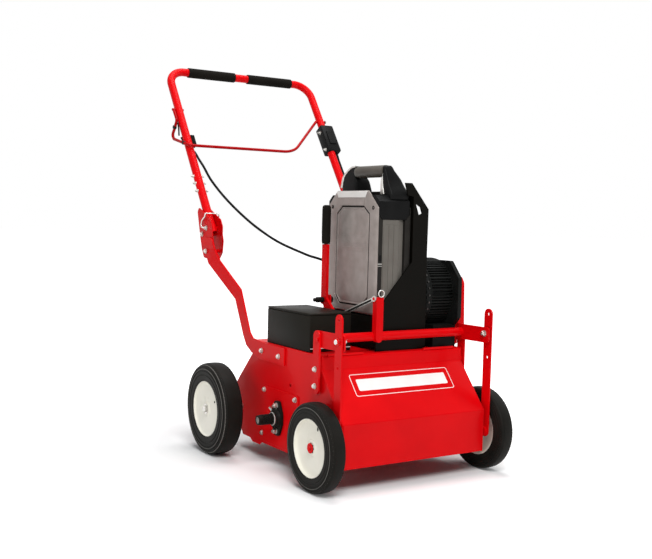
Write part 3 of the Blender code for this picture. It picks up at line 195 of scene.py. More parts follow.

# %% [markdown]
# A finished piece keeps its object at the origin, so its place is in its mesh. Doubled points at seams
# and poles are merged, and the faces of each closed shell are turned outwards. The piece then rides on
# the body of the CAD node that it stands for. Each piece prints its name and its faces when it is made.

# %% Making a piece
def settle(name, mesh, bm, finish, nodes, body, edge, segments, angle):
    """Turns the work mesh into an object with a finish, round edges and a body to ride on."""
    bmesh.ops.remove_doubles(bm, verts=bm.verts, dist=2e-6)
    bmesh.ops.recalc_face_normals(bm, faces=bm.faces)
    bm.to_mesh(mesh)
    bm.free()
    mesh.polygons.foreach_set("use_smooth", np.ones(len(mesh.polygons), bool))
    mesh.set_sharp_from_angle(angle=math.radians(angle))
    mesh.materials.append(finish)
    made = bpy.data.objects.new(name, mesh)
    bpy.context.scene.collection.objects.link(made)
    if edge:
        rounding = made.modifiers.new("edges", "BEVEL")
        rounding.width = edge
        rounding.segments = segments
        rounding.limit_method = "ANGLE"
        rounding.angle_limit = math.radians(angle)
        rounding.harden_normals = True
    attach(made, body or BODY_OF[nodes[0]])
    if nodes:
        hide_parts(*nodes)
    print(name, len(mesh.polygons), "faces")
    return made


def piece(name, shells, finish, nodes=(), body=None, edge=0.0, segments=2, angle=30):
    """One object from closed shells. nodes are the CAD nodes that it stands for."""
    points, faces, start = [], [], 0
    for corners, quads, ends in shells:
        points.append(corners)
        faces += (quads + start).tolist()
        faces += [(end + start).tolist() for end in ends]
        start += len(corners)
    mesh = bpy.data.meshes.new(name)
    mesh.from_pydata((np.concatenate(points) + (0, MIDDLE, 0)).tolist(), [], faces)
    bm = bmesh.new()
    bm.from_mesh(mesh)
    made = settle(name, mesh, bm, finish, nodes, body, edge, segments, angle)
    return made


def dressed(node, finish, edge=0.0007, segments=2, angle=30):
    """A copy of a CAD node with its flat triangles joined into whole faces and its edges rounded."""
    mesh = frame["nodes"][node].data.copy()
    mesh.materials.clear()
    bm = bmesh.new()
    bm.from_mesh(mesh)
    bmesh.ops.remove_doubles(bm, verts=bm.verts, dist=2e-6)
    bmesh.ops.dissolve_limit(bm, angle_limit=math.radians(1), verts=bm.verts, edges=bm.edges)
    settle(node + "_skin", mesh, bm, finish, (node,), None, edge, segments, angle)


# %% [markdown]
# ## Finishes
# Each finish starts from what the real surface is. Colours are sRGB hex values that one function turns
# to linear light, by the sRGB curve. One small function adds a shader node with its settings and
# links, and two patterns are used by most finishes: a slow drift between two colours, and a grain
# whose size and height are real lengths.

# %% Colour and node helpers
def linear(code):
    """sRGB to linear: c / 12.92 below 0.04045, and ((c + 0.055) / 1.055) ** 2.4 above."""
    value = np.array([int(code[i : i + 2], 16) for i in (1, 3, 5)]) / 255
    light = np.where(value <= 0.04045, value / 12.92, ((value + 0.055) / 1.055) ** 2.4)
    return (*light.tolist(), 1.0)


def add_node(tree, kind, settings=(), inputs=()):
    """Adds a node. An input is a number, a colour or the output that feeds it."""
    made = tree.nodes.new(kind)
    for name, value in dict(settings).items():
        setattr(made, name, value)
    for name, value in dict(inputs).items():
        if isinstance(value, bpy.types.NodeSocket):
            tree.links.new(value, made.inputs[name])
        else:
            made.inputs[name].default_value = value
    return made


def new_finish(name, **even):
    """A material whose even values sit on the shader's own sockets; returns what patterns build on."""
    made = bpy.data.materials.new(name)
    made.use_nodes = True
    tree = made.node_tree
    shader = tree.nodes["Principled BSDF"]
    for socket, value in even.items():
        shader.inputs[socket.replace("_", " ")].default_value = value
    place = add_node(tree, "ShaderNodeTexCoord").outputs["Object"]
    print("finish", name)
    return made, tree, shader, place


def drift(tree, shader, place, size, dark, light, rough):
    """Colour and roughness wander together over patches of this size."""
    cloud = add_node(tree, "ShaderNodeTexNoise", inputs={"Vector": place, "Scale": 1 / size, "Detail": 4.0})
    amount = add_node(
        tree,
        "ShaderNodeMapRange",
        inputs={"Value": cloud.outputs["Fac"], "From Min": 0.3, "From Max": 0.7},
    ).outputs["Result"]
    colours = add_node(
        tree, "ShaderNodeMix", {"data_type": "RGBA"}, {0: amount, 6: linear(dark), 7: linear(light)}
    )
    level = add_node(
        tree, "ShaderNodeMapRange", inputs={"Value": amount, "To Min": rough[0], "To Max": rough[1]}
    )
    tree.links.new(colours.outputs[2], shader.inputs["Base Color"])
    tree.links.new(level.outputs["Result"], shader.inputs["Roughness"])


def grain(tree, shader, place, size, height, stretch=(1, 1, 1)):
    """A bump of this size across and height, pulled out along an axis by a small stretch value."""
    room = add_node(tree, "ShaderNodeMapping", inputs={"Vector": place, "Scale": stretch})
    cloud = add_node(
        tree,
        "ShaderNodeTexNoise",
        inputs={"Vector": room.outputs["Vector"], "Scale": 1 / size, "Detail": 2.0},
    )
    bump = add_node(
        tree, "ShaderNodeBump", inputs={"Height": cloud.outputs["Fac"], "Distance": height, "Strength": 1.0}
    )
    tree.links.new(bump.outputs["Normal"], shader.inputs["Normal"])


print("the sRGB grey #808080 is", round(linear("#808080")[0], 3), "in linear light")


# %% [markdown]
# Painted steel comes first. Polyester powder coat melts into a thick skin with a faint orange peel, 2
# to 3 mm from crest to crest and a few micrometres high. It mirrors little of a white studio, so its
# red stays deep, which a low specular level gives here. The bail has the same coat, drawn in a darker
# red that is painted shade. The black box has a matt texture, the dock is satin, and the wheel discs are
# smooth stove enamel.

# %% Painted steel
def powder_coat(name, dark, light, rough, peel, height, coat):
    """Powder coat: the peel is its crest distance, and a clear upper skin gives the hard gloss."""
    even = {"Coat_Weight": coat, "Coat_Roughness": 0.08, "Specular_IOR_Level": 0.05}
    made, tree, shader, place = new_finish(name, **even)
    drift(tree, shader, place, 0.09, dark, light, rough)
    grain(tree, shader, place, peel, height)
    return made


red_coat = powder_coat("red_powder_coat", "#d2030a", "#dc050c", (0.34, 0.42), 0.0026, 0.000006, 0.05)
# The bail's darker red is painted shade.
painted_shade_red_coat = powder_coat("red_dip_coat", "#a3050b", "#ad070d", (0.36, 0.44), 0.0026, 0.000006, 0.05)
black_coat = powder_coat("black_texture_coat", "#171511", "#1d1b16", (0.42, 0.52), 0.0012, 0.00005, 0.0)
dock_coat = powder_coat("black_satin_coat", "#090805", "#0d0b08", (0.40, 0.50), 0.0018, 0.00003, 0.0)
cream_enamel = powder_coat("cream_stove_enamel", "#e9e6d8", "#f2efe4", (0.26, 0.36), 0.006, 0.00002, 0.05)

# %% [markdown]
# Mouldings follow. ABS and glass-filled nylon leave the tool with a spark-eroded grain, about half a
# millimetre wide, drawn twice as coarse here so that it shows. The battery's right shell is ABS
# sprayed with a warm silver lacquer, with a lighter lacquer along its top edge as a painted highlight, and
# its carrying grip is a darker nylon. A dark grey ABS paints shade on the left shell and the shells' blocks.
# Tyres are solid black rubber, with a painted highlight in light grey on the raised rings of their walls,
# and the hand grips are nitrile foam with open pores.

# %% Plastics and rubber
def moulding(name, dark, light, rough, size, height, patch=0.05, gloss=0.06, **even):
    """A moulded surface with its tool's grain."""
    made, tree, shader, place = new_finish(name, Specular_IOR_Level=gloss, **even)
    drift(tree, shader, place, patch, dark, light, rough)
    grain(tree, shader, place, size, height)
    return made


black_abs = moulding("black_abs", "#0f0f0f", "#161616", (0.34, 0.46), 0.0011, 0.00005)
# Dark grey ABS that paints shade on the left shell and the shells' blocks.
painted_shade_abs = moulding("dark_grey_abs", "#23211f", "#2c2a27", (0.40, 0.52), 0.0011, 0.00005)
silver_lacquer = moulding(
    "warm_silver_lacquer", "#857c77", "#978e89", (0.34, 0.46), 0.0012, 0.00003, 0.03, 0.3, Metallic=0.45
)
# A lighter lacquer that paints a highlight on the shells' top edge.
painted_highlight_lacquer = moulding("rubbed_silver_lacquer", "#dcd8d3", "#e6e3df", (0.30, 0.40), 0.0012, 0.00003)
grip_nylon = moulding("dark_grip_nylon", "#443f39", "#544f48", (0.34, 0.46), 0.0012, 0.00004, gloss=0.2)
grey_nylon = moulding("grey_glass_nylon", "#66625c", "#706c66", (0.42, 0.55), 0.0012, 0.00004)
tyre_rubber = moulding("solid_tyre_rubber", "#12110e", "#1b1916", (0.46, 0.60), 0.0016, 0.00008, gloss=0.08)
# A light grey rubber that paints a highlight on the tyres' wall rings.
ring_highlight_rubber = moulding("worn_tyre_rubber", "#5a5955", "#6c6a66", (0.50, 0.62), 0.0016, 0.00006)
grip_foam = moulding("nitrile_foam", "#100e0b", "#1a1815", (0.78, 0.92), 0.0014, 0.00018)
cable_sheath = moulding("pvc_sheath", "#080808", "#0e0e0e", (0.30, 0.42), 0.003, 0.00002)
belt_rubber = moulding("wrapped_belt_rubber", "#161412", "#211f1c", (0.75, 0.9), 0.001, 0.00008)
red_cap = moulding("red_nylon_cap", "#9c1418", "#ac1a1e", (0.32, 0.42), 0.001, 0.00003)
white_vinyl = moulding("white_vinyl", "#efedea", "#f6f5f3", (0.30, 0.36), 0.004, 0.00001)

# %% [markdown]
# Bare and plated metal last. Zinc plate on bolts is bright with a soft, uneven bloom. Spring wire is
# drawn and nickel-plated. Knives and pulleys are plain steel, ground across, the motor's rim screws
# are blued steel, and the motor and the bearing housings are castings with black paint, whose sand
# texture is about 1.5 mm across.

# %% Metals and castings
def metal(name, dark, light, rough, size, height, stretch=(1, 1, 1)):
    """Bare metal: the base colour is what it mirrors, and the grain is its grinding or its plate."""
    made, tree, shader, place = new_finish(name, Metallic=1.0)
    drift(tree, shader, place, 0.012, dark, light, rough)
    grain(tree, shader, place, size, height, stretch)
    return made


zinc_plate = metal("zinc_plate", "#b9b6b0", "#d2d0cb", (0.24, 0.38), 0.0012, 0.00002)
spring_wire = metal("nickel_spring_wire", "#b9b6b1", "#d6d4d0", (0.16, 0.28), 0.0015, 0.00001)
ground_steel = metal("ground_steel", "#6f6c68", "#8a8782", (0.34, 0.50), 0.0010, 0.00003, (0.1, 1, 1))
blued_steel = metal("blued_steel", "#3a3938", "#4c4a48", (0.30, 0.44), 0.0012, 0.00002)
black_casting = moulding("painted_casting", "#0f100f", "#191a19", (0.36, 0.52), 0.0015, 0.00012)
black_iron = moulding("blackened_iron", "#110f0d", "#1e1b18", (0.35, 0.55), 0.0016, 0.00010, 0.02)

FINISH = {
    "red_paint": red_coat,
    "black_plastic": black_abs,
    "black_metal": dock_coat,
    "rubber": grip_foam,
    "tyre": tyre_rubber,
    "cream_paint": cream_enamel,
    "zinc": zinc_plate,
    "battery_silver": silver_lacquer,
    "battery_grey": grey_nylon,
    "bare_steel": ground_steel,
    "motor_black": black_casting,
    "chrome": spring_wire,
}
for node, item in frame["nodes"].items():
    for place in item.material_slots:
        place.material = FINISH[SLOT_OF[node]]
print(len(bpy.data.materials), "materials")

# %% [markdown]
# ## The clutch cable
# The cable is a Bowden cable: a steel wire in a stiff black sheath, 7.4 mm thick. It leaves its stop on
# the deck beside the motor, passes behind the battery and climbs to the back of the right leg, where
# the bail's hook pulls its wire. Both of its ends are held, so it hangs in one long easy bow.

# %% Clutch cable
CABLE_R = 0.0037
CABLE = [
    (-0.2680, 0.5098, 0.8995),
    (-0.2600, 0.5012, 0.8820),
    (-0.2480, 0.4910, 0.8650),
    (-0.2361, 0.4820, 0.8554),
    (-0.2344, 0.4520, 0.8315),
    (-0.2310, 0.4250, 0.8087),
    (-0.2190, 0.4020, 0.7720),
    (-0.1955, 0.3830, 0.7340),
    (-0.1725, 0.3610, 0.7010),
    (-0.1495, 0.3390, 0.6720),
    (-0.1270, 0.3170, 0.6460),
    (-0.1040, 0.2950, 0.6230),
    (-0.0815, 0.2730, 0.6030),
    (-0.0590, 0.2510, 0.5860),
    (-0.0370, 0.2300, 0.5730),
    (-0.0150, 0.2080, 0.5610),
    (0.0070, 0.1870, 0.5500),
    (0.0290, 0.1660, 0.5420),
    (0.0800, 0.1230, 0.5200),
    (0.1350, 0.0830, 0.4850),
    (0.1750, 0.0640, 0.4350),
    (0.1900, 0.0620, 0.3900),
    (0.1900, 0.0620, 0.3680),
]


def through(points, per_span):
    """A Catmull-Rom curve: each span is the cubic that passes through its two ends, with the slope at
    an end set by the points on either side of it. A point may have any number of values."""
    p = np.array(points, float)
    p = np.concatenate([[2 * p[0] - p[1]], p, [2 * p[-1] - p[-2]]])
    a, b, c, d = (p[i : len(p) - 3 + i, None] for i in range(4))
    t = np.linspace(0, 1, per_span, endpoint=False)[None, :, None]
    cubic = 2 * b + (c - a) * t + (2 * a - 5 * b + 4 * c - d) * t**2 + (3 * b - a - 3 * c + d) * t**3
    return np.concatenate([cubic.reshape(-1, p.shape[1]) / 2, p[-2:-1]])


cable_line = through(CABLE, 8)
cable = piece(
    "clutch_cable_sheath",
    [carried(cable_line, circle(CABLE_R, 14), (0.7, 0.7, 0))],
    cable_sheath,
    ("clutch_cable",),
)

# %% [markdown]
# ## Bolts
# Nearly everything is held by hexagon bolts and nuts with washers. A bolt could be a cylinder with six
# sides, but a real head is turned before it is cut, so one function gives the radius round the axis: a
# circle for the washer, and the lesser of a circle and a hexagon for the head.

# %% Bolt heads
BOLT_STEPS = 24
WASHER = 0.0014
SCREW_R = 0.0032


def bolt(at, way, flats=0.013, height=0.0055, washer=0.0088, stub=0.0):
    """r(t) = min(circle, a / cos((t mod 60) - 30)), with a half the width over the flats. at is the
    middle of its seat, way points out of it, and stub is how far the screw's end stands out."""
    at, way = np.array(at, float), unit(np.array(way, float))
    across = unit(np.cross(way, (0.3, 0.5, 0.8)))
    angle = np.linspace(0, 2 * np.pi, BOLT_STEPS, endpoint=False)[:, None]
    spoke = np.cos(angle) * across + np.sin(angle) * np.cross(way, across)
    hexagon = flats / 2 / np.cos(np.mod(angle, np.pi / 3) - np.pi / 6)
    corner = flats / 2 / math.cos(math.pi / 6)
    top = WASHER + height
    head = [(corner, WASHER), (corner, WASHER + height * 0.75), (flats * 0.47, top)]
    head += [(SCREW_R, top), (SCREW_R, top + stub), (0, top + stub)]
    rows = [at + way * level + reach * spoke for reach, level in ((0, 0), (washer, 0), (washer, WASHER))]
    rows += [at + way * level + np.minimum(reach, hexagon) * spoke for reach, level in head]
    return skin(np.array(rows), caps=False)


print("one bolt has", len(bolt((0, 0, 0), (0, 0, 1))[1]), "faces")

# %% [markdown]
# ## Deck
# The deck is laser-cut 3 mm sheet, bent and bolted together, so the CAD plates already have its shape.
# They could be drawn again, but a merged copy with rounded edges is truer to the model. An edge without
# a round never catches the light, so each gets about a millimetre, and the bent flat bars a little more.

# %% Sheet metal
PLATE_EDGES = {
    "side_plate_": 0.0011,
    "bearing_plate_": 0.0011,
    "pivot_bracket_": 0.0012,
    "swing_arm_": 0.0012,
    "link_bar_": 0.0012,
    "lower_bar_": 0.0018,
}
for name, side in SIDES:
    for node, edge in PLATE_EDGES.items():
        dressed(node + name, red_coat, edge, 3)
    dressed("fold_bracket_" + name, red_coat, 0.0009)
for node in ("motor_plate", "belt_guard", "crank_shaft", "lever_bracket", "depth_lever"):
    dressed(node, red_coat, 0.0011, 3)

# %% [markdown]
# The deck itself is one sheet folded on a press brake, and a fold keeps an inner radius of about the
# sheet's thickness. A Bevel could round the CAD's corners, but both sides of a fold share one centre. So
# its line is drawn again with real bends, and the same line moved in by the sheet's thickness has the
# smaller bends. The bright line along a fold is what tells the eye that it is bent.

# %% Deck line
SHEET = 0.003
BEND_OUT = 0.007
BEND_IN = 0.004
DECK_TOP = 0.3235
DECK_HALF = 0.2198
DECK_LINE = [
    (-0.356, 0.061),
    (-0.357, 0.171),
    (-0.257, 0.288),
    (-0.257, DECK_TOP),
    (0.1017, DECK_TOP),
    (0.1017, 0.287),
    (0.180, 0.208),
    (0.2285, 0.150),
]


def offset(line, depth):
    """An open line moved to its right by depth: each corner goes along its bisector by depth / cos."""
    points = np.array(line, float)
    way = unit(np.diff(points, axis=0))
    normal = np.stack([way[:, 1], -way[:, 0]], axis=-1)
    before = np.concatenate([normal[:1], normal])
    after = np.concatenate([normal, normal[-1:]])
    middle = unit(before + after)
    return points + middle * (depth / np.sum(middle * after, axis=-1, keepdims=True))


outside = fillet(DECK_LINE, BEND_OUT, 6)
within = fillet(offset(DECK_LINE, SHEET), BEND_IN, 6)
outside_length = float(np.linalg.norm(np.diff(outside, axis=0), axis=1).sum())
print("the deck's outer face is", round(outside_length, 3), "m along its folds")

# %% [markdown]
# The sheet carries three small welded pieces. A stop of three blocks holds the clutch cable's lower end
# behind the battery, and two short folded lips stand on the front edge under the crank. They are part
# of the sheet's own piece, because the CAD's solid holds them too.

# %% Deck sheet
STOP_X = 0.190
STOP_Y = (0.0480, 0.0760)
STOP_Z = 0.3610
LIP_Y = (-0.2570, -0.2520)
LIPS = ((0.094, 0.196), (-0.205, -0.098))
near, far = STOP_Y
deck = [prism(np.concatenate([outside, within[::-1]]), (-DECK_HALF, DECK_HALF))]
deck.append(block((STOP_X - 0.016, near, DECK_TOP - 0.001), (STOP_X + 0.016, far, DECK_TOP + 0.0035)))
deck.append(block((STOP_X - 0.004, near, DECK_TOP + 0.001), (STOP_X + 0.004, near + 0.006, STOP_Z + 0.003)))
deck.append(block((STOP_X - 0.008, near + 0.002, STOP_Z), (STOP_X + 0.008, far - 0.004, STOP_Z + 0.006)))
for x0, x1 in LIPS:
    deck.append(block((x0, LIP_Y[0], DECK_TOP - 0.001), (x1, LIP_Y[1], DECK_TOP + 0.0050)))
piece("deck_sheet", deck, red_coat, ("deck_shell",), edge=0.0010, segments=3, angle=40)

# %% [markdown]
# The front panel has a place for a label: a thin white outline round a white band, which is kept plain.
# It is cut vinyl. It could be a picture on the panel, but a thin solid, a quarter of a millimetre thick,
# stays sharp at any distance. It is drawn flat, as distance across and distance up the slope, and then
# laid down on the panel.

# %% Label on the front panel
SLOPE_FOOT = np.array([-0.357, 0.171])
SLOPE_TOP = np.array([-0.257, 0.288])
LABEL_X = (-0.1510, 0.1600)
LABEL_S = (0.0735, 0.1365)
VINYL = 0.00025


def on_slope(outline):
    """Lays vinyl on the front panel: P = foot + s * up the slope + height * out of it."""
    along = unit(SLOPE_TOP - SLOPE_FOOT)
    out = np.array([-along[1], along[0]])
    outline = np.array(outline, float)
    level = np.array([0.0, VINYL])[:, None, None]
    place = (SLOPE_FOOT + outline[:, 1:] * along)[None] + level * out
    x = np.broadcast_to(outline[None, :, :1], (2, len(outline), 1))
    return np.concatenate([x, place], axis=-1)


def rectangle(x, s, margin, radius):
    """The label's outline pulled in by a margin, with round corners."""
    x0, x1, s0, s1 = x[0] + margin, x[1] - margin, s[0] + margin, s[1] - margin
    return fillet([(x0, s0), (x1, s0), (x1, s1), (x0, s1)], radius, 6, closed=True)


outer = on_slope(rectangle(LABEL_X, LABEL_S, 0.0, 0.006))
inner = on_slope(rectangle(LABEL_X, LABEL_S, 0.0017, 0.0045))
border = np.stack([outer[0], outer[1], inner[1], inner[0]], axis=1)
band = on_slope(rectangle(LABEL_X, LABEL_S, 0.0150, 0.004))
label_shells = [skin(border, loop=True), skin(band)]
piece("label", label_shells, white_vinyl, body="chassis")

# %% [markdown]
# ## Wheels
# The tyres are solid rubber with a square shoulder, rings on the wall and short ribs on the shoulder.
# A torus would be too round, so the whole section is one closed profile that is turned round the axle,
# and the ribs are a ripple in its radius. Two raised rings on the wall are light grey, a painted highlight.

# %% Tyres
REAR = (0.1612, 0.127)
FRONT = (-0.300, 0.1103)
FLANK = [
    (0.0, 0.90), (0.03, 0.98), (0.10, 1.0), (0.30, 1.0), (0.325, 0.955), (0.375, 0.955), (0.40, 1.0),
    (0.52, 0.995), (0.545, 0.945), (0.595, 0.94), (0.62, 0.985), (0.70, 0.965), (0.725, 0.905),
    (0.775, 0.885), (0.80, 0.93), (0.87, 0.88), (0.915, 0.82), (0.945, 0.75), (0.962, 0.69),
    (0.966, 0.66), (0.955, 0.645), (0.955, 0.615), (0.975, 0.60), (0.988, 0.40), (0.997, 0.20),
    (1.0, 0.0),
]
RIBS = 70
RIB_DEPTH = 0.0007


def tyre(name, side, axle, inner, outer, hub, radius):
    """A closed profile round the axle. FLANK gives shares of the wall's height and of half the width,
    from the bead up to the middle of the tread, and the other half mirrors it."""
    middle, half, wall = (inner + outer) / 2, (outer - inner) / 2, radius - hub
    up, across = np.array(FLANK).T
    up, across = np.append(up, up[-2::-1]), np.append(across, -across[-2::-1])
    profile = np.stack([hub + wall * up, side * (middle + half * across)], axis=-1)

    def ribs(along, angle):
        """Cuts at four fifths of the half width, as a square wave round the axle."""
        beside = np.abs(along - side * middle) / half
        place = np.exp(-(((beside - 0.80) / 0.10) ** 2))
        return -RIB_DEPTH * place * (np.sin(angle * RIBS) > 0.2)

    shell = turned(profile, (0, *axle), steps=4 * RIBS, loop=True, swell=ribs)
    piece("tyre_" + name + "_rubber", [shell], tyre_rubber, ("tyre_" + name,), angle=40)


def wall_rings(name, side, axle, outer, hub, radius):
    """Two low humps on the wall: each has its share of the wall's height and its depth from the side."""
    rings = []
    for up, depth in ((0.66, 0.0005), (0.885, 0.0042)):
        r, x = hub + (radius - hub) * up, outer - depth
        hump = [(r - 0.0016, x - 0.0040), (r - 0.0006, x + 0.0006)]
        hump += [(r + 0.0006, x + 0.0006), (r + 0.0016, x - 0.0040)]
        rings.append(turned([(a, side * b) for a, b in hump], (0, *axle), steps=160, loop=True))
    # The rings are light grey, a painted highlight.
    piece("tyre_rings_" + name, rings, ring_highlight_rubber, body="wheel_" + name)


for name, side in SIDES:
    tyre("rear_" + name, side, REAR, 0.279, 0.340, 0.077, 0.127)
    tyre("front_" + name, side, FRONT, 0.2415, 0.2835, 0.0719, 0.1103)
    wall_rings("rear_" + name, side, REAR, 0.340, 0.077, 0.127)
    wall_rings("front_" + name, side, FRONT, 0.2835, 0.0719, 0.1103)

# %% [markdown]
# The discs are pressed steel, enamelled cream, with a raised hub and a rolled lip that holds the tyre.
# Pressed sheet has the same section all the way round, so it is lathe work too. Each disc has one small
# hole, which a dark inlay gives as painted shade, because a real hole in a turned grid would spoil its even
# faces.

# %% Discs
BORE_R = 0.0082


def disc(name, side, axle, lip, outer, web, hub_in):
    """From the bore over the raised hub, down to the flat web, up to the rolled lip, and back inside."""
    face = [(BORE_R, web + 0.0030), (0.0150, web + 0.0030), (0.0185, web + 0.0022), (0.0215, web)]
    face += [(lip - 0.0120, web - 0.0008), (lip - 0.0065, web - 0.0002), (lip - 0.0040, web + 0.0016)]
    face += [(lip - 0.0022, outer), (lip - 0.0008, outer + 0.0006), (lip - 0.0001, outer - 0.0004)]
    face += [(lip - 0.0001, hub_in[0]), (lip - 0.0035, hub_in[0]), (lip - 0.0045, web - 0.0040)]
    face += [(0.0165, web - 0.0035), (0.0165, hub_in[1]), (BORE_R, hub_in[1])]
    shell = turned([(r, side * x) for r, x in face], (0, *axle), steps=120, loop=True)
    piece("rim_" + name + "_disc", [shell], cream_enamel, ("rim_" + name,), angle=35)


def inlay(title, name, outline, low, high):
    """A dark inlay in a disc, painted shade in place of a hole, between two heights on the axle."""
    shell = prism(outline, (low, high))
    piece(title + name.split("_")[1], [shell], black_iron, body="wheel_" + name)


SLOT_CORNERS = [(-0.3255, 0.1555), (-0.3205, 0.1555), (-0.3205, 0.1680), (-0.3255, 0.1680)]
slot_line = fillet(SLOT_CORNERS, 0.0024, 5, closed=True)
hole_line = circle(0.0030, 20, (0.1150, 0.1530))
for name, side in SIDES:
    disc("rear_" + name, side, REAR, 0.0768, 0.3375, 0.3320, (0.2820, 0.2705))
    disc("front_" + name, side, FRONT, 0.0717, 0.2812, 0.2716, (0.2445, 0.2405))
    # The dark inlays paint the shade of a hole.
    inlay("disc_slot_", "front_" + name, slot_line, side * 0.2700, side * 0.2717)
    inlay("disc_hole_", "rear_" + name, hole_line, side * 0.3300, side * 0.3321)

# %% [markdown]
# The rear axle is a plain rod that ends in a bolt on each side. The front stub axles end in a spring push
# nut, whose teeth are a ripple in its radius, and a small red cap over it.

# %% Axle ends
AXLE_R = 0.0080
AXLE_END = 0.3366
TEETH = 8
axle_line = [(0, -AXLE_END), (AXLE_R, -AXLE_END), (AXLE_R, AXLE_END), (0, AXLE_END)]
axle_shells = [turned(axle_line, (0, *REAR), steps=32)]
angle = np.linspace(0, 2 * np.pi, 96, endpoint=False)
star = 0.0115 + 0.0016 * np.cos(TEETH * angle)
star_line = np.stack([FRONT[0] + star * np.cos(angle), FRONT[1] + star * np.sin(angle)], axis=-1)
CAP = [(0, 0.2825), (0.0040, 0.2824), (0.0066, 0.2812), (0.0078, 0.2790), (0.0080, 0.2750), (0, 0.2750)]
for name, side in SIDES:
    axle_shells.append(bolt((side * 0.3352, *REAR), (side, 0, 0), 0.0165, 0.0062, 0.0140))
    push_nut = prism(star_line, (side * 0.2748, side * 0.2762))
    piece("push_nut_" + name, [push_nut], black_iron, body="arm_" + name)
    hub_cap = turned([(r, side * x) for r, x in CAP], (0, *FRONT), steps=40)
    piece("hub_cap_" + name, [hub_cap], red_cap, body="arm_" + name)
piece("rear_axle_bolt", axle_shells, zinc_plate, ("rear_axle",))

# %% [markdown]
# ## Bolts on the deck
# The bolts sit where the photograph shows them on the right side, and the left side mirrors them. Each is
# given by how far out its seat is, and by its place on the side. They could be CAD nodes of their own, but
# small fasteners are the scene's work, so the bolts of one body are one piece.

# %% Bolts on the sides
DECK_BOLTS = [
    (0.2284, 0.0410, 0.2996),
    (0.2284, -0.0525, 0.2960),
    (0.2338, -0.2445, 0.2490),
    (0.2338, -0.2445, 0.2910),
    (0.2231, 0.0385, 0.0740),
    (0.2264, 0.0240, 0.1960),
    (0.2264, -0.1400, 0.1950),
]
CRANK_PIN = (-0.346, 0.371)
deck_bolts = []
for name, side in SIDES:
    out = np.array([side, 0, 0])
    deck_bolts += [bolt((side * x, y, z), out, 0.0105, 0.0045, 0.0072, 0.0015) for x, y, z in DECK_BOLTS]
    crank_bolt = bolt((side * 0.2365, *CRANK_PIN), out, 0.0125, 0.0050, 0.0086)
    inner_nut = bolt((side * 0.2232, *CRANK_PIN), -out, 0.0125, 0.0070, 0.0090, 0.003)
    piece("crank_bolts_" + name, [crank_bolt, inner_nut], zinc_plate, body="crank")
piece("deck_bolts", deck_bolts, zinc_plate, body="chassis")

# %% [markdown]
# ## Bearing on the right side
# The rotor's end runs in a two-bolt flange bearing, a black casting with a turned boss. Its flange is an
# eight-sided outline with wide round corners, and the boss is lathe work. Two nuts hold it, and a grease
# nipple sits on the housing's upper corner.

# %% Flange bearing
ROTOR = (-0.055, 0.132)
FLANGE_X = (-0.2268, -0.2336)
FLANGE = [
    (0.012, 0.046),
    (-0.012, 0.046),
    (-0.027, 0.013),
    (-0.027, -0.013),
    (-0.012, -0.046),
    (0.012, -0.046),
    (0.027, -0.013),
    (0.027, 0.013),
]
flange = fillet(np.array(FLANGE) + ROTOR, 0.009, 6, closed=True)
boss = [(0.0130, -0.2300), (0.0255, -0.2330), (0.0240, -0.2385), (0.0225, -0.2400), (0.0222, -0.2438)]
boss += [(0.0190, -0.2442), (0.0185, -0.2425), (0.0165, -0.2425), (0.0160, -0.2480), (0.0130, -0.2480)]
housing = [prism(flange, FLANGE_X), turned(boss, (0, *ROTOR), steps=64, loop=True)]
piece("bearing_housing", housing, black_iron, ("bearing_flange_right",), edge=0.0012, segments=3)
nuts = []
for dz in (-0.0335, 0.0335):
    nuts.append(bolt((FLANGE_X[1], ROTOR[0], ROTOR[1] + dz), (-1, 0, 0), 0.0125, 0.0075, 0.0085, 0.004))
nipple_at = (-0.2400, ROTOR[0] + 0.014, ROTOR[1] + 0.020)
nuts.append(bolt(nipple_at, (-0.5, 0.3, 0.8), 0.0055, 0.004, 0.003, 0.005))
piece("bearing_nuts", nuts, zinc_plate, body="chassis")

# %% [markdown]
# The shaft stands out of the bearing with a threaded end. A real thread is a helix, but at this size rings
# look the same, so the sleeve's radius steps between a root and a crest. A zinc collar sits at its foot.
# The knives and the hidden belt drive keep their CAD shape.

# %% Rotor and belt drive
THREAD_ROOT = 0.0127
THREAD_CREST = 0.0139
PITCH = 0.0019
thread = [(THREAD_ROOT, -0.2485), (THREAD_CREST, -0.2492)]
for x in -0.2500 - PITCH * np.arange(16):
    thread += [(THREAD_ROOT, x), (THREAD_CREST, x - 0.0009)]
thread += [(0.0137, -0.2815), (THREAD_ROOT, -0.2895), (0.0112, -0.2901)]
thread += [(0.0090, -0.2901), (0.0090, -0.2485)]
sleeve = turned(thread, (0, *ROTOR), steps=48, loop=True)
piece("rotor_stub", [sleeve], black_iron, body="rotor")
collar = [(0.0128, -0.2440), (0.0172, -0.2442), (0.0178, -0.2452)]
collar += [(0.0178, -0.2468), (0.0168, -0.2478), (0.0128, -0.2480)]
collar_shell = turned(collar, (0, *ROTOR), steps=48, loop=True)
piece("rotor_collar", [collar_shell], zinc_plate, body="rotor")
dressed("bearing_flange_left", black_iron)
dressed("knife_reel", ground_steel, 0.0005)
for node in ("rotor_pulley", "motor_pulley"):
    dressed(node, ground_steel, 0.0004)
dressed("idler_arm", zinc_plate, 0.0004)
dressed("idler_pulley", black_abs, 0.0004)
dressed("drive_belt", belt_rubber, 0.0005)

# %% [markdown]
# ## Control box
# A folded steel box with a lid, in fine black texture coat. It could be drawn with folded corners, but
# its corners are welded and ground, so the CAD boxes with round edges are right. A thin white strip of
# sealant shows along the foot of its front.

# %% Control box
dressed("controller_box", black_coat, 0.0012, 3)
dressed("controller_lid", black_coat, 0.0012, 3)
seal = [block((-0.2170, -0.1925, DECK_TOP + 0.0090), (-0.0960, -0.1914, DECK_TOP + 0.0108))]
piece("box_seal", seal, white_vinyl, body="chassis")
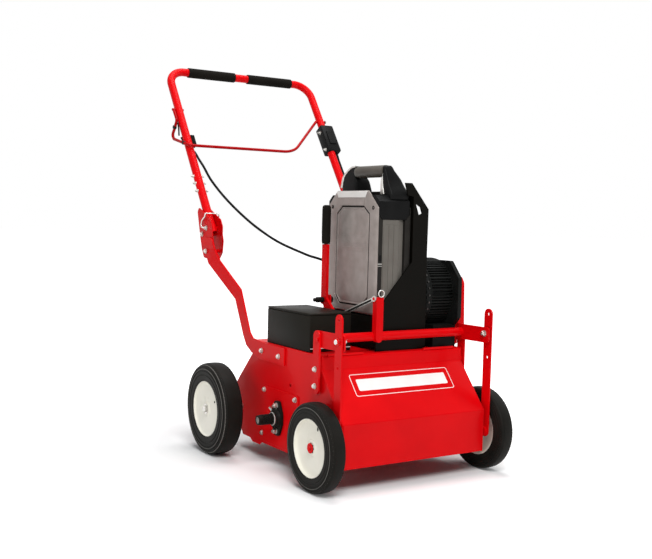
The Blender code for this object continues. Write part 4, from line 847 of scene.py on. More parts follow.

# %% [markdown]
# ## Battery
# The pack is a grey nylon case between two shells, silver on the right and dark grey on the left, where
# the dark grey is painted shade, with a black cap and a handle over it. A shell's face could be cut with
# Booleans. A loft is cleaner: the same number of points on each outline, from the rim over a bevel to an
# eight-sided groove and the sunken panel inside it, with only the depth changing from one to the next.

# %% Battery outlines
BATTERY_Y = -0.232
CAP_Z = 0.664
CAP_TOP = 0.7265
CASE_FOOT = 0.416
SHELL = [
    (0.008, CASE_FOOT),
    (0.233, CASE_FOOT),
    (0.2405, 0.425),
    (0.2405, 0.694),
    (0.194, 0.738),
    (0.046, 0.738),
    (0.0, 0.694),
    (0.0, 0.425),
]
PANEL = [
    (0.061, 0.4385),
    (0.166, 0.4385),
    (0.1865, 0.460),
    (0.1865, 0.674),
    (0.162, 0.6935),
    (0.063, 0.6935),
    (0.0385, 0.675),
    (0.0395, 0.460),
]


def shrunk(outline, depth):
    """A closed outline pulled in by a depth: each corner moves along its bisector by depth / cos."""
    points = np.array(outline, float)
    way = unit(np.roll(points, -1, axis=0) - points)
    normal = np.stack([-way[:, 1], way[:, 0]], axis=-1)
    before = np.roll(normal, 1, axis=0)
    middle = unit(normal + before)
    return points + middle * (depth / np.sum(middle * normal, axis=-1, keepdims=True))


def lofted(loops, radius=0.004, steps=5):
    """Rows of a loft in the plane across X: each loop is an outline, its inset and its x."""
    rows = []
    for outline, depth, x in loops:
        flat = fillet(shrunk(outline, depth), max(radius - depth * 0.4, 0.0008), steps, closed=True)
        rows.append(np.stack([np.full(len(flat), x), flat[:, 0] + BATTERY_Y, flat[:, 1]], axis=-1))
    return np.array(rows)


print("the shell's outline has", len(fillet(SHELL, 0.004, 5, closed=True)), "points")

# %% [markdown]
# FACE_LEVELS is the section of the face, from the rim to the middle of the panel: an outline, how far it
# is pulled in, and how deep it lies. A low frame, two plain pads where raised words would be and a row
# of short ribs stand on it. A thin brow of lighter lacquer along the top edge is a painted highlight.

# %% Battery faces
FACE_LEVELS = [
    (SHELL, 0.0, 0.0052),
    (SHELL, 0.0, 0.0040),
    (SHELL, 0.0008, 0.0030),
    (SHELL, 0.0036, 0.0004),
    (SHELL, 0.0046, 0.0),
    (PANEL, -0.0054, 0.0),
    (PANEL, -0.0046, 0.0019),
    (PANEL, -0.0008, 0.0019),
    (PANEL, -0.0002, 0.0002),
    (PANEL, 0.0006, -0.0005),
    (PANEL, 0.0020, -0.0005),
    (PANEL, 0.0028, 0.0004),
    (PANEL, 0.0045, 0.0004),
    (PANEL, 0.0050, 0.0011),
    (PANEL, 0.0062, 0.0011),
    (PANEL, 0.0068, 0.0006),
    (PANEL, 0.0200, 0.0007),
]
PADS = (
    ([(0.0610, 0.6990), (0.1830, 0.6990), (0.1735, 0.7170), (0.0620, 0.7170)], -0.0012),
    ([(0.0490, 0.5990), (0.1660, 0.5990), (0.1660, 0.6205), (0.0490, 0.6205)], 0.0002),
    ([(0.0640, 0.5790), (0.1630, 0.5790), (0.1630, 0.5890), (0.0640, 0.5890)], 0.0002),
)
SHORT_RIBS = np.arange(0.0540, 0.1600, 0.0085)
BROW = [(0.0560, 0.7200), (0.1840, 0.7200), (0.1930, 0.7368), (0.0470, 0.7368)]
# The left face is dark grey, painted shade.
FACES = (("right", -1, -0.0500, silver_lacquer), ("left", 1, 0.0600, painted_shade_abs))
for name, side, face, finish in FACES:
    shells = [skin(lofted([(outline, inset, face - side * depth) for outline, inset, depth in FACE_LEVELS]))]
    for outline, depth in PADS:
        line = fillet(outline, 0.0025, 4, closed=True) + (BATTERY_Y, 0)
        shells.append(prism(line, (face - side * 0.003, face - side * depth)))
    low, high = sorted((face - side * 0.001, face + side * 0.0001))
    for y in BATTERY_Y + SHORT_RIBS:
        shells.append(block((low, y, 0.6020), (high, y + 0.0040, 0.6175)))
    piece("battery_face_" + name, shells, finish, ("battery_shell_" + name,), edge=0.0005, angle=28)
    # The brow's lighter lacquer is a painted highlight.
    brow_line = fillet(BROW, 0.002, 4, closed=True) + (BATTERY_Y, 0)
    brow = prism(brow_line, (face - side * 0.003, face + side * 0.0008))
    piece("battery_brow_" + name, [brow], painted_highlight_lacquer, body="battery", edge=0.0006)

# %% [markdown]
# The groove's floor is a thin dark ring of painted shade, so that it reads as deep. Two socket screws hold
# each face, and behind the silver there is a block, dark grey as painted shade, that closes the shell down
# to the case.

# %% Grooves, screws and blocks of the shells
GROOVE = ((-0.0044, 0.0015), (-0.0010, 0.0015), (-0.0010, 0.0019), (-0.0044, 0.0019))
FACE_SCREWS = ((0.0189, 0.6933), (0.2112, 0.6947))
SOCKET = [(0, -0.0010), (0.0052, -0.0010), (0.0052, 0.0004), (0.0040, 0.0009), (0.0024, 0.0009)]
SOCKET += [(0.0020, -0.0006), (0, -0.0006)]
BLOCK_IN = 0.0195
for name, side, face, finish in FACES:
    groove = lofted([(PANEL, inset, face - side * depth) for inset, depth in GROOVE])
    groove_shell = skin(groove, loop=True)
    # The groove's dark ring is painted shade.
    piece("battery_groove_" + name, [groove_shell], black_iron, body="battery")
    head = [(r, face + side * out) for r, out in SOCKET]
    heads = [turned(head, (0, BATTERY_Y + y, z), steps=28) for y, z in FACE_SCREWS]
    piece("battery_screws_" + name, heads, black_iron, body="battery")
    x0, x1 = face - side * 0.0040, face - side * BLOCK_IN
    shoulder = CAP_Z - 0.0003
    profile = [(x0, CASE_FOOT), (x1, CASE_FOOT), (x1, shoulder), (x1 + side * 0.0035, shoulder)]
    profile += [(x0, CAP_Z + 0.0142)]
    core = [prism(profile, (BATTERY_Y + 0.001, 0.0075), "y")]
    title = "battery_block_" + name
    # The block's dark grey is painted shade.
    piece(title, core, painted_shade_abs, body="battery", edge=0.0014, segments=3)

# %% [markdown]
# The case shows between the shells as ribbed grey nylon, with its left front corner cut back. The ribs
# are shallow blocks on the case, because moulded ribs have flat tops and sharp roots. A small black latch
# and two bright wires sit on its right front edge.

# %% Battery case
CASE_X = (-0.0302, 0.0402)
CASE_Y = (BATTERY_Y + 0.002, 0.0065)
RIB_Z = (0.4300, 0.6500)
CUT = np.array([0.0202, 0.0070])
cut_start = np.array([0.020, CASE_Y[0]])
case_line = [(CASE_X[0], CASE_Y[0]), cut_start, cut_start + CUT]
case_line += [(CASE_X[1], CASE_Y[1]), (CASE_X[0], CASE_Y[1])]
case_shells = [prism(fillet(case_line, 0.002, 4, closed=True), (0.415, CAP_Z - 0.0003), "z")]
for y0, y1 in ((CASE_Y[0] - 0.0012, CASE_Y[0] + 0.002), (CASE_Y[1] - 0.002, CASE_Y[1] + 0.0012)):
    for x0, x1 in ((-0.0275, -0.0130), (-0.0110, 0.0030), (0.0050, 0.0190)):
        case_shells.append(block((x0, y0, RIB_Z[0]), (x1, y1, RIB_Z[1])))
facet = unit(CUT)
facet_out = np.array([facet[1], -facet[0]])
strip = [(0.0025, -0.002), (0.0025, 0.001), (0.0190, 0.001), (0.0190, -0.002)]
strip_line = [cut_start + facet * along + facet_out * out for along, out in strip]
case_shells.append(prism(strip_line, RIB_Z, "z"))
piece("battery_body", case_shells, grey_nylon, ("battery_case",), edge=0.0007)
latch = block((-0.0400, BATTERY_Y - 0.0004, 0.5560), (-0.0330, BATTERY_Y + 0.003, 0.5720))
piece("battery_latch", [latch], black_abs, body="battery", edge=0.0005)
wires = []
for z0, z1 in ((0.5480, 0.5500), (0.5430, 0.5442)):
    wires.append(block((-0.0445, BATTERY_Y - 0.0002, z0), (-0.0315, BATTERY_Y + 0.003, z1)))
piece("latch_wires", wires, zinc_plate, body="battery", edge=0.0004)

# %% [markdown]
# The cap is a black moulding. It could be a box with a wide Bevel, but its lower edge tapers in over the
# shells and its top narrows only lengthways, so it is a loft of four rounded rectangles.

# %% Battery cap
CAP_X = (-0.0447, 0.0547)
CAP_LEVELS = (
    (CAP_X[0] + 0.0113, CAP_X[1] - 0.0113, 0.0, 0.2405, CAP_Z),
    (CAP_X[0], CAP_X[1], 0.0, 0.2405, CAP_Z + 0.0137),
    (CAP_X[0], CAP_X[1], 0.0, 0.2405, CAP_TOP - 0.0160),
    (CAP_X[0], CAP_X[1], 0.0180, 0.2225, CAP_TOP),
)
cap_rows = []
for x0, x1, y0, y1, z in CAP_LEVELS:
    flat = fillet([(x0, y0), (x1, y0), (x1, y1), (x0, y1)], 0.003, 5, closed=True)
    cap_rows.append(np.stack([flat[:, 0], flat[:, 1] + BATTERY_Y, np.full(len(flat), z)], axis=-1))
cap_shell = skin(np.array(cap_rows))
print("the cap is a loft of", len(cap_rows), "outlines")

# %% [markdown]
# The handle is two horns that lean from the cap's left edge to the grip. Neither a tube nor a box has this
# shape: each horn is a boxy section between an outer and an inner curve, and its two sides lean in with
# the height. A superellipse gives the boxy section, and its power says how sharp the corners are.

# %% Horns of the battery's handle
LEFT_Z = (0.0, 0.0045, 0.0405, 0.0660, 0.0900)
LEFT_X = (0.0543, 0.0543, 0.0412, 0.0235, 0.0190)
RIGHT_Z = (0.0, 0.0660, 0.0900)
RIGHT_X = (-0.0060, -0.0080, -0.0065)


def superellipse(power, steps=40):
    """(|cos t| ** (2 / power), |sin t| ** (2 / power)) with the signs of cos and sin: a round box."""
    t = np.linspace(0, 2 * np.pi, steps, endpoint=False)
    c, s = np.cos(t), np.sin(t)
    return np.sign(c) * np.abs(c) ** (2 / power), np.sign(s) * np.abs(s) ** (2 / power)


def horn(stations, across=(0.0, 1.0), inner=(0.0, 1.0), power=7):
    """P(i, a, b): y and z go from the inner point to the outer one with b, and x goes from the right lean
    to the left lean at that height with a. across and inner keep a part of the section. A station is
    the outer y and z and the inner y and z, from the battery's front and the cap's top."""
    way = through(stations, 7)[:, None]
    a, b = superellipse(power)
    a = across[0] + (across[1] - across[0]) * (a + 1) / 2
    b = inner[0] + (inner[1] - inner[0]) * (b + 1) / 2
    y = way[..., 2] + (way[..., 0] - way[..., 2]) * b
    z = way[..., 3] + (way[..., 1] - way[..., 3]) * b
    right = np.interp(z, RIGHT_Z, RIGHT_X)
    left = np.interp(z, LEFT_Z, LEFT_X)
    return skin(np.stack([right + (left - right) * a, y + BATTERY_Y, z + CAP_TOP], axis=-1))


FRONT_HORN = [
    (0.0030, -0.0100, 0.0490, -0.0100),
    (0.0035, 0.0050, 0.0490, 0.0030),
    (0.0165, 0.0305, 0.0490, 0.0200),
    (0.0260, 0.0560, 0.0475, 0.0400),
    (0.0335, 0.0720, 0.0430, 0.0465),
    (0.0400, 0.0785, 0.0400, 0.0480),
]
REAR_HORN = [
    (0.2385, -0.0100, 0.1650, -0.0100),
    (0.2385, 0.0215, 0.1640, 0.0155),
    (0.2280, 0.0515, 0.1640, 0.0350),
    (0.2050, 0.0690, 0.1670, 0.0440),
    (0.1885, 0.0775, 0.1690, 0.0465),
    (0.1700, 0.0800, 0.1700, 0.0480),
]
cap_shells = [cap_shell, horn(FRONT_HORN), horn(REAR_HORN)]
piece("battery_top", cap_shells, black_abs, ("battery_cap",), edge=0.0020, segments=3, angle=34)

# %% [markdown]
# A bright strip runs along each horn, on the front one's inner corner and the rear one's outer corner. It
# is the same horn with only that part of its section, so it can't drift off the moulding. The grip is a
# ribbed sleeve, turned as one profile, and a round black button stands on the cap.

# %% Trims, grip and button
front_trim = horn(FRONT_HORN[1:], (-0.03, 0.12), (-0.03, 0.34), 5)
rear_trim = horn(REAR_HORN[1:], (-0.03, 0.13), (0.90, 1.03), 5)
trims = [front_trim, rear_trim]
piece("handle_trim", trims, zinc_plate, body="battery", angle=40)
bump = [(0, 0.7260), (0.0085, 0.7260), (0.0085, 0.7360), (0.0070, 0.7400), (0.0035, 0.7420), (0, 0.7422)]
button = turned(bump, (0.0180, -0.0900, 0), "z", 40)
piece("battery_button", [button], black_abs, body="battery")
GRIP_Y = (BATTERY_Y + 0.0403, BATTERY_Y + 0.1697)
GRIP_RIBS = 25
ring = [(0.0105, GRIP_Y[0]), (0.0150, GRIP_Y[0]), (0.0158, GRIP_Y[0] + 0.0012)]
for y in np.linspace(GRIP_Y[0] + 0.010, GRIP_Y[1] - 0.010, GRIP_RIBS):
    ring += [(0.0160, y - 0.0014), (0.0154, y)]
ring += [(0.0158, GRIP_Y[1] - 0.0012), (0.0150, GRIP_Y[1]), (0.0105, GRIP_Y[1])]
grip = turned(ring, (0.004, 0, 0.790), "y", 56, loop=True)
piece("battery_handgrip", [grip], grip_nylon, ("battery_grip",), angle=50)

# %% [markdown]
# ## Battery dock and motor
# The dock is folded black sheet, so it keeps its CAD shape, and only the top of its wall on the motor's
# side is added. The motor is a casting with fins along it. They could be an Array of thin boxes, but a
# casting is one body: its radius drops between the fins, which is a square wave round the axis. Its outer
# bell is eight-sided, and a block under it is its foot.

# %% Dock and motor
dressed("dock_frame", dock_coat, 0.0012, 3)
back_wall = block((0.0632, -0.2330, 0.6400), (0.0662, 0.0098, 0.7400))
piece("dock_back_top", [back_wall], dock_coat, body="chassis", edge=0.0008)
MOTOR = (-0.144, 0.465)
MOTOR_R = 0.0965
FINS = 72
FIN_DEPTH = 0.0060
BELL = [
    (-0.2600, 0.4050),
    (-0.2600, 0.5105),
    (-0.2205, 0.5560),
    (-0.0675, 0.5560),
    (-0.0280, 0.5105),
    (-0.0280, 0.4050),
    (-0.0675, 0.3650),
    (-0.2205, 0.3650),
]


def fin_wave(along, angle):
    """Between the fins the radius is FIN_DEPTH less: a square wave of FINS periods, only on the fins."""
    on_fins = (along > 0.1315) & (along < 0.2020)
    return np.where(on_fins & (np.sin(FINS * angle) < 0), -FIN_DEPTH, 0.0)


barrel = [(0, 0.1280), (0.0940, 0.1280), (0.0955, 0.1290), (0.0960, 0.1312), (MOTOR_R, 0.1318)]
barrel += [(MOTOR_R, 0.2018), (0.0955, 0.2025), (0.0955, 0.2060), (0, 0.2060)]
motor_shells = [turned(barrel, (0, *MOTOR), steps=FINS * 6, swell=fin_wave)]
motor_shells.append(prism(fillet(BELL, 0.008, 5, closed=True), (0.2032, 0.2155)))
motor_shells.append(block((0.138, MOTOR[0] - 0.095, DECK_TOP + 0.0003), (0.2145, MOTOR[0] + 0.060, 0.385)))
piece("motor_barrel", motor_shells, black_casting, ("motor_body",), edge=0.0012, segments=3, angle=40)

# %% [markdown]
# The motor's ring on the battery's side carries a circle of small screws on its face and another round
# its rim. They could be an Array on a circle, but the bolt function already points a head in any
# direction: along the axis for the face, and away from it for the rim. The rim's screws are blued, so
# they only glint.

# %% Ring and screws of the motor
FACE_R = 0.0862
RIM_R = 0.0930


def round_motor(count):
    """Directions away from the motor's axis, evenly spread."""
    turn = np.linspace(0, 2 * np.pi, count, endpoint=False)
    return np.stack([np.zeros(count), np.cos(turn), np.sin(turn)], axis=-1)


ring = [(0, 0.1152), (0.0300, 0.1152), (0.0340, 0.1187), (0.0770, 0.1187), (0.0800, 0.1175)]
ring += [(0.0905, 0.1180), (0.0935, 0.1210), (0.0948, 0.1260), (0.0948, 0.1277), (0, 0.1277)]
shells = [turned(ring, (0, *MOTOR), steps=120)]
for outward in round_motor(36):
    shells.append(bolt((0.1176, *MOTOR) + outward * FACE_R, (-1, 0, 0), 0.0070, 0.0030, 0.0048))
piece("motor_ring", shells, black_casting, ("motor_end_cap",), angle=35)
rim_screws = []
for outward in round_motor(32):
    rim_screws.append(bolt((0.1222, *MOTOR) + outward * RIM_R, outward, 0.0050, 0.0024, 0.0032))
piece("motor_rim_screws", rim_screws, blued_steel, body="chassis")

# %% [markdown]
# ## Depth lever
# The lever is a bent flat bar with a foam grip, and its pivot is a black knob with a ridged neck. A real
# knurl is cut in two directions and would need a thousand small faces. At this size its ridges are what
# shows, so the neck is turned with small steps in its radius.

# %% Lever
LEVER = (-0.037, 0.442)
grip_line = [(0, 0.6990), (0.0060, 0.6988), (0.0098, 0.6968), (0.0115, 0.6930), (0.0119, 0.6860)]
grip_line += [(0.0120, 0.6600), (0.0120, 0.6100), (0.0116, 0.5990), (0.0105, 0.5940), (0.0, 0.5932)]
lever_grip = turned(grip_line, (-0.080, LEVER[0], 0), "z", 48)
piece("lever_handgrip", [lever_grip], grip_foam, ("lever_grip",))
knob = [(0, -0.0570), (0.0085, -0.0570), (0.0090, -0.0578), (0.0090, -0.0672), (0.0080, -0.0679)]
knob += [(0.0050, -0.0680), (0.0050, -0.0842), (0.0066, -0.0844), (0.0075, -0.0855)]
for x in -0.0862 - 0.0028 * np.arange(6):
    knob += [(0.0075, x), (0.0066, x - 0.0006), (0.0066, x - 0.0014), (0.0075, x - 0.0020)]
knob += [(0.0075, -0.1050), (0.0066, -0.1062), (0.0050, -0.1064), (0.0050, -0.1138)]
knob += [(0.0042, -0.1148), (0, -0.1148)]
knob_shell = turned(knob, (0, *LEVER), steps=40)
piece("lever_knob_turned", [knob_shell], black_iron, ("lever_knob",), angle=40)

# %% [markdown]
# A zinc flat bar links the lever to the crank. A dark strip runs along its middle, a thin plate on its
# face that paints a dark reflection, and it is written in the bar's own two directions. A ring of bright
# wire sits by the crank's tab: a small circle carried round a larger one.

# %% Lift link and ring
TAB_PIN = np.array([-0.262, 0.463])
LEVER_PIN = np.array([-0.090, 0.400])
# The dark strip paints a dark reflection on the bar's face.
REFLECTION_STRIP = ((0.012, -0.0030), (0.165, -0.0030), (0.165, 0.0022), (0.012, 0.0022))
RING = (-0.0605, 0.4765)
RING_R = 0.0085
dressed("lift_link", zinc_plate, 0.0009, 3)
along = unit(LEVER_PIN - TAB_PIN)
across = np.array([-along[1], along[0]])
strip_line = [TAB_PIN + along * a + across * b for a, b in REFLECTION_STRIP]
reflection_strip_shell = prism(strip_line, (-0.0761, -0.0755))
piece("lift_strip", [reflection_strip_shell], black_iron, body="lift")
ring_line = circle(RING_R, 48, RING)
ring_path = np.stack([ring_line[:, 0], np.full(48, -0.2740), ring_line[:, 1]], axis=-1)
ring_shell = carried(ring_path, circle(0.0015, 12), (0, 1, 0), loop=True)
piece("ring_clip", [ring_shell], spring_wire, ("crank_ring",))

# %% [markdown]
# ## Handle
# The upper handle is a single 25 mm tube bent round two corners, with open ends that show the wall. A
# Curve object with a bevel would give the tube but not its open ends, so a circle is carried along the
# filleted path, and its last rings are turned in to make the wall.

# %% Upper handle
LEG_X = 0.259
TUBE_R = 0.0125
TUBE_WALL = 0.0016
BEND_R = 0.055
FOLD = np.array([0.302, 0.626])
CROSSBAR = np.array([0.644, 1.118])
LEG_WAY = unit(CROSSBAR - FOLD)
LEG_BACK = np.array([LEG_WAY[1], -LEG_WAY[0]])
tail = FOLD - LEG_WAY * 0.018
corners = [(-LEG_X, *tail), (-LEG_X, *CROSSBAR), (LEG_X, *CROSSBAR), (LEG_X, *tail)]
line = fillet(corners, BEND_R, 16)
steps = unit(np.diff(line, axis=0))
way = unit(np.concatenate([steps[:1], steps[:-1] + steps[1:], steps[-1:]]))
way = np.concatenate([way[:1], way[:1], way, way[-1:], way[-1:]])
inside = np.array([0, *LEG_WAY]) * 0.03
line = np.concatenate([[line[0] + inside, line[0]], line, [line[-1], line[-1] + inside]])
wide = np.full(len(line), TUBE_R)
wide[[0, 1, -2, -1]] = TUBE_R - TUBE_WALL
section = circle(1.0, 40)[None] * wide[:, None, None]
tube = carried(line, section, (0, *LEG_BACK), way=way)
piece("handle_tube", [tube], red_coat, ("upper_handle",), angle=40)

# %% [markdown]
# Foam grips sleeve the crossbar. Such grips are pushed on tight, so they touch the tube, and their ends
# are round. A cylinder with a Bevel would do, but a turned profile also gives the hole through it. Both
# grips are that one profile, at two places.

# %% Crossbar grips
SLEEVE_R = 0.0155
for name, x0, x1 in (("right", -0.190, -0.024), ("left", 0.024, 0.190)):
    sleeve = [(TUBE_R + 0.0002, x0), (0.0146, x0), (0.0154, x0 + 0.0010), (SLEEVE_R, x0 + 0.0040)]
    sleeve += [(SLEEVE_R, x1 - 0.0040), (0.0154, x1 - 0.0010), (0.0146, x1), (TUBE_R + 0.0002, x1)]
    grip = turned(sleeve, (0, *CROSSBAR), steps=56, loop=True)
    piece("grip_sleeve_" + name, [grip], grip_foam, ("crossbar_grip_" + name,))

# %% [markdown]
# The bail is a 9 mm rod, bent in one plane, that hangs from two pivots on the legs. Beside the right leg it
# turns up into a hook, which pulls the clutch cable. It is one path with a round section: a wide bow for
# the hand, then tight bends for the hook. Two small pins and the end of the cable's wire ride on it too.

# %% Bail
BAIL = (0.552, 0.987)
REST = (0.449, 0.8725)
BAIL_R = 0.0045
HOOK_X = -0.2767
BOW_END = (-0.200, *REST)
HOOK = [
    (-0.2680, 0.4480, REST[1]),
    (HOOK_X - 0.0010, 0.4640, 0.8785),
    (HOOK_X, 0.5465, 0.8959),
    (HOOK_X, 0.5586, 0.9089),
    (HOOK_X, 0.5437, 0.9265),
    (HOOK_X, 0.5255, 0.9528),
    (HOOK_X, *BAIL),
]
bow = fillet([(LEG_X - 0.0175, *BAIL), (0.098, *REST), BOW_END], 0.087, 24)[:-1]
bail_line = np.concatenate([bow, fillet([BOW_END, *HOOK], 0.010, 8)])
bail_shells = [carried(bail_line, circle(BAIL_R, 20), (0.10, 1.0, -1.0))]
for x0, x1 in ((HOOK_X - 0.005, -0.2440), (0.2400, 0.2760)):
    bail_shells.append(turned([(0, x0), (0.0040, x0), (0.0040, x1), (0, x1)], (0, *BAIL), steps=24))
# The bail's darker red is painted shade.
piece("bail_rod", bail_shells, painted_shade_red_coat, ("bail",), edge=0.0005)
pin = [(0, -0.2825), (0.0052, -0.2825), (0.0058, -0.2812), (0.0058, -0.2730), (0, -0.2730)]
hook_pins = [turned(pin, (0, y, z), steps=24) for y, z in ((0.4690, 0.8800), (0.5400, 0.9320))]
piece("hook_pins", hook_pins, black_iron, body="bail_arm")
wire_line = through([(HOOK_X, 0.5080, 0.9040), (HOOK_X, 0.5110, 0.9240), (HOOK_X, 0.5180, 0.9440)], 6)
wire = carried(wire_line, circle(0.0024, 12), (1, 0, 0))
piece("cable_wire", [wire], black_iron, body="bail_arm")

# %% [markdown]
# The wire locks are 4 mm spring wire bent into a clip that snaps over the handle's leg. The photograph
# shows fine bright beads along them, the marks of the bending rollers, so the radius ripples. For even
# beads the path is first walked in equal steps.

# %% Wire locks
WIRE_R = 0.0020
BEAD = 0.0034
LOCK_OUT = 0.0225
LOCK_END = 0.0192
LOCK_SIDE = [FOLD, (0.322, 0.628), (0.3289, 0.6341), (0.322, 0.648), (0.3025, 0.660), (0.3033, 0.6684)]
for name, side in SIDES:
    near, far = side * (LEG_X - LOCK_OUT), side * (LEG_X + LOCK_OUT)
    route = [(side * (LEG_X - LOCK_END), *FOLD)] + [(near, *point) for point in LOCK_SIDE]
    route += [(far, *point) for point in LOCK_SIDE[::-1]] + [(side * (LEG_X + LOCK_END), *FOLD)]
    line = fillet(route, 0.006, 6)
    reach = np.concatenate([[0], np.cumsum(np.linalg.norm(np.diff(line, axis=0), axis=1))])
    even = np.arange(0, reach[-1], 0.0006)
    line = np.stack([np.interp(even, reach, line[:, k]) for k in range(3)], axis=-1)
    beads = WIRE_R + 0.00040 * np.cos(even / BEAD * 2 * np.pi)
    section = circle(1.0, 12)[None] * beads[:, None, None]
    spring = carried(line, section, (0.31, 0.12, 0.05))
    piece("wire_spring_" + name, [spring], spring_wire, ("wire_lock_" + name,), angle=60)

# %% [markdown]
# The switch box clamps round the left leg with two screws. It has the CAD's shape with wide round edges,
# and a rocker on its front face. Things on a leg lean with it, so they are written in the leg's own
# directions, across, back and along, and then turned to the frame.

# %% Switch box
across, back, lean = np.array([1, 0, 0]), np.array([0, *LEG_BACK]), np.array([0, *LEG_WAY])


def leg(z):
    """The middle of the handle's legs at a height, as y and z."""
    return FOLD[0] + (z - FOLD[1]) * LEG_WAY[0] / LEG_WAY[1], z


def leaning(x, z, low, high):
    """A block in the leg's own directions, from the leg's middle line at a height."""
    points, quads, ends = block(low, high)
    turned_points = points[:, :1] * across + points[:, 1:2] * back + points[:, 2:] * lean
    return np.array([x, *leg(z)]) + turned_points, quads, ends


SWITCH_Z = 0.9235
dressed("switch_box", black_abs, 0.0030, 3)
switch_bolts = []
for along in (-0.040, 0.030):
    at = np.array([0.2440, *leg(SWITCH_Z)]) + lean * along
    switch_bolts.append(bolt(at, (-1, 0, 0), 0.0075, 0.0050, 0.0055, 0.003))
piece("switch_bolts", switch_bolts, zinc_plate, body="handle")
rocker = leaning(0, SWITCH_Z, (0.2560, -0.0195, -0.0260), (0.2800, -0.0150, 0.0260))
piece("switch_rocker", [rocker], black_abs, body="handle", edge=0.0012, segments=3)

# %% [markdown]
# The switch's lead runs straight down the outside of the leg in a stiff sheath. The sheath is thicker at
# both ends, where it is moulded on, so its radius changes along a straight path.

# %% Switch lead
LEAD_OUT = 0.0190
LEAD_Z = (0.8782, 0.7050)
LEAD_SHARE = (0, 0.05, 0.12, 0.80, 0.84, 0.97, 1.0)
LEAD_R = (0.0060, 0.0060, 0.0048, 0.0048, 0.0060, 0.0060, 0.0052)
LEAD_STEPS = 40
heights = np.linspace(*LEAD_Z, LEAD_STEPS)
lead_y, lead_z = leg(heights)
lead_line = np.stack([np.full(LEAD_STEPS, LEG_X + LEAD_OUT), lead_y, lead_z], axis=-1) + 0.001 * back
swell = np.interp(np.linspace(0, 1, LEAD_STEPS), LEAD_SHARE, LEAD_R)
section = circle(1.0, 20)[None] * swell[:, None, None]
lead = carried(lead_line, section, (1, 0, 0))
piece("lead_sheath", [lead], cable_sheath, ("switch_lead",), angle=50)

# %% [markdown]
# Each fold bracket has three bolts, with a head outside and a nut inside. The bail's pivot shows on the
# left leg, three small bolts go through the right leg, and a small foam block sits on the inner side of
# the right leg. They ride on the handle, so they turn with it, while the brackets' bolts stay behind.

# %% Bolts on the legs
FOLD_BOLTS = ((0.2862, 0.283, 0.560), (0.2762, *FOLD), (0.2762, 0.330, 0.6075))
FOLD_NUT_X = 0.2418
handle_bolts = []
for z in (0.778, 0.757, 0.734):
    for face in (-1, 1):
        at = (-LEG_X + face * 0.0118, *leg(z))
        handle_bolts.append(bolt(at, (face, 0, 0), 0.0080, 0.0040, 0.0052, 0.0030))
handle_bolts.append(bolt((0.2765, *BAIL), (1, 0, 0), 0.0090, 0.0040, 0.0065))
piece("handle_bolts", handle_bolts, zinc_plate, body="handle")
fold_bolts = []
for side in (-1, 1):
    for x, y, z in FOLD_BOLTS:
        fold_bolts.append(bolt((side * x, y, z), (side, 0, 0), 0.0105, 0.0042, 0.0072, 0.0015))
        fold_bolts.append(bolt((side * FOLD_NUT_X, y, z), (-side, 0, 0), 0.0105, 0.0042, 0.0072))
piece("fold_bolts", fold_bolts, zinc_plate, body="chassis")
bumper = leaning(-0.2390, 0.8900, (-0.0080, -0.0050, -0.0190), (0.0060, 0.0130, 0.0190))
piece("bail_bumper", [bumper], grip_foam, body="handle", edge=0.002, segments=3)

# %% [markdown]
# ## Floor and light
# The floor is a plain pale sheet that runs on far behind, and it keeps the soft shadow. More light would
# wash out the colours, so the white of the background comes from the materials instead: the floor glows
# from half a metre outwards, but only for rays from the camera, a mirror or glass.

# %% Floor
FLOOR = 30.0
GLOW = (0.45, 1.30)


def seen_rays(tree):
    """1 for a ray from the camera, a mirror or glass, and 0 for the light that falls on the object."""
    path = add_node(tree, "ShaderNodeLightPath").outputs
    seen = path["Is Camera Ray"]
    for kind in ("Is Glossy Ray", "Is Transmission Ray"):
        either = add_node(tree, "ShaderNodeMath", {"operation": "MAXIMUM"}, {0: seen, 1: path[kind]})
        seen = either.outputs[0]
    return seen


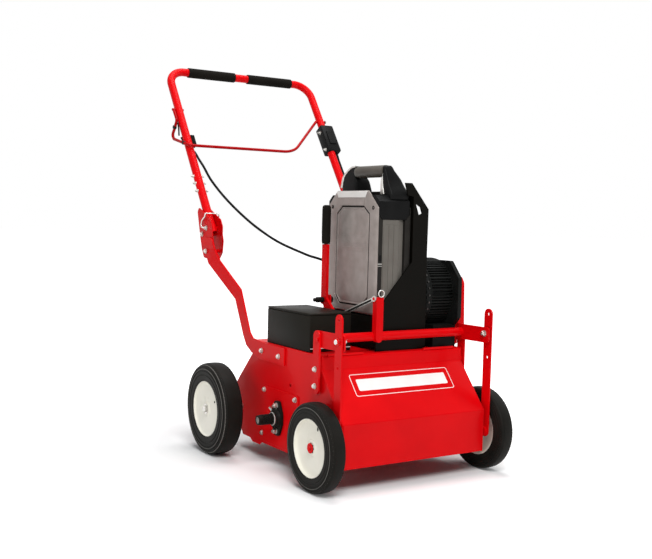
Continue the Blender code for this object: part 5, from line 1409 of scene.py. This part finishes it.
floor_mesh = bpy.data.meshes.new("floor")
corners = [(-FLOOR, -FLOOR, 0), (FLOOR, -FLOOR, 0), (FLOOR, FLOOR, 0), (-FLOOR, FLOOR, 0)]
floor_mesh.from_pydata(corners, [], [(0, 1, 2, 3)])
floor = bpy.data.objects.new("floor", floor_mesh)
bpy.context.scene.collection.objects.link(floor)
sheet, tree, shader, place = new_finish("pale_floor", Roughness=0.9, Specular_IOR_Level=0.0)
shader.inputs["Base Color"].default_value = linear("#f7f7f7")
away = add_node(tree, "ShaderNodeVectorMath", {"operation": "LENGTH"}, {0: place}).outputs["Value"]
ramp = {"Value": away, "From Min": GLOW[0], "From Max": GLOW[1]}
amount = add_node(tree, "ShaderNodeMapRange", inputs=ramp).outputs["Result"]
glow = add_node(tree, "ShaderNodeEmission", inputs={"Color": linear("#ffffff"), "Strength": amount})
both = add_node(tree, "ShaderNodeAddShader", inputs={0: shader.outputs[0], 1: glow.outputs[0]})
choice = {0: seen_rays(tree), 1: shader.outputs[0], 2: both.outputs[0]}
choose = add_node(tree, "ShaderNodeMixShader", inputs=choice)
tree.links.new(choose.outputs[0], tree.nodes["Material Output"].inputs["Surface"])
floor_mesh.materials.append(sheet)
print("floor", 2 * FLOOR, "m wide")

# %% [markdown]
# The world is white where it is seen and a dim, slightly blue grey where it lights the object. A broad key
# lamp from the upper left of the front, a top lamp and two weak fills give the plain, soft light of a
# product photograph, and the shade under the machine stays dark.

# %% World
world = bpy.data.worlds.new("studio")
bpy.context.scene.world = world
world.use_nodes = True
tree = world.node_tree
white = add_node(tree, "ShaderNodeBackground", inputs={"Color": linear("#ffffff"), "Strength": 1.0})
dim = add_node(tree, "ShaderNodeBackground", inputs={"Color": linear("#f4f7fb"), "Strength": 0.23})
choice = {0: seen_rays(tree), 1: dim.outputs[0], 2: white.outputs[0]}
pick = add_node(tree, "ShaderNodeMixShader", inputs=choice)
tree.links.new(pick.outputs[0], tree.nodes["World Output"].inputs["Surface"])
print("world", world.name)

# %% Lamps
def lamp(name, place, aim, size, power):
    """A square soft box that looks at a point."""
    data = bpy.data.lights.new(name, "AREA")
    data.size = size
    data.energy = power
    made = bpy.data.objects.new(name, data)
    made.location = place
    made.rotation_euler = (Vector(aim) - Vector(place)).to_track_quat("-Z", "Y").to_euler()
    bpy.context.scene.collection.objects.link(made)


lamp("key", (-1.2, -2.6, 2.9), (0, 0, 0.4), 1.4, 88)
lamp("top", (0.3, 0.2, 3.3), (0, 0, 0), 2.0, 64)
lamp("fill", (-3.2, 0.4, 1.4), (0, 0, 0.5), 1.4, 12)
lamp("far", (2.8, -0.8, 2.0), (0, 0, 0.5), 1.4, 12)
print("lamps", len(bpy.data.lights))
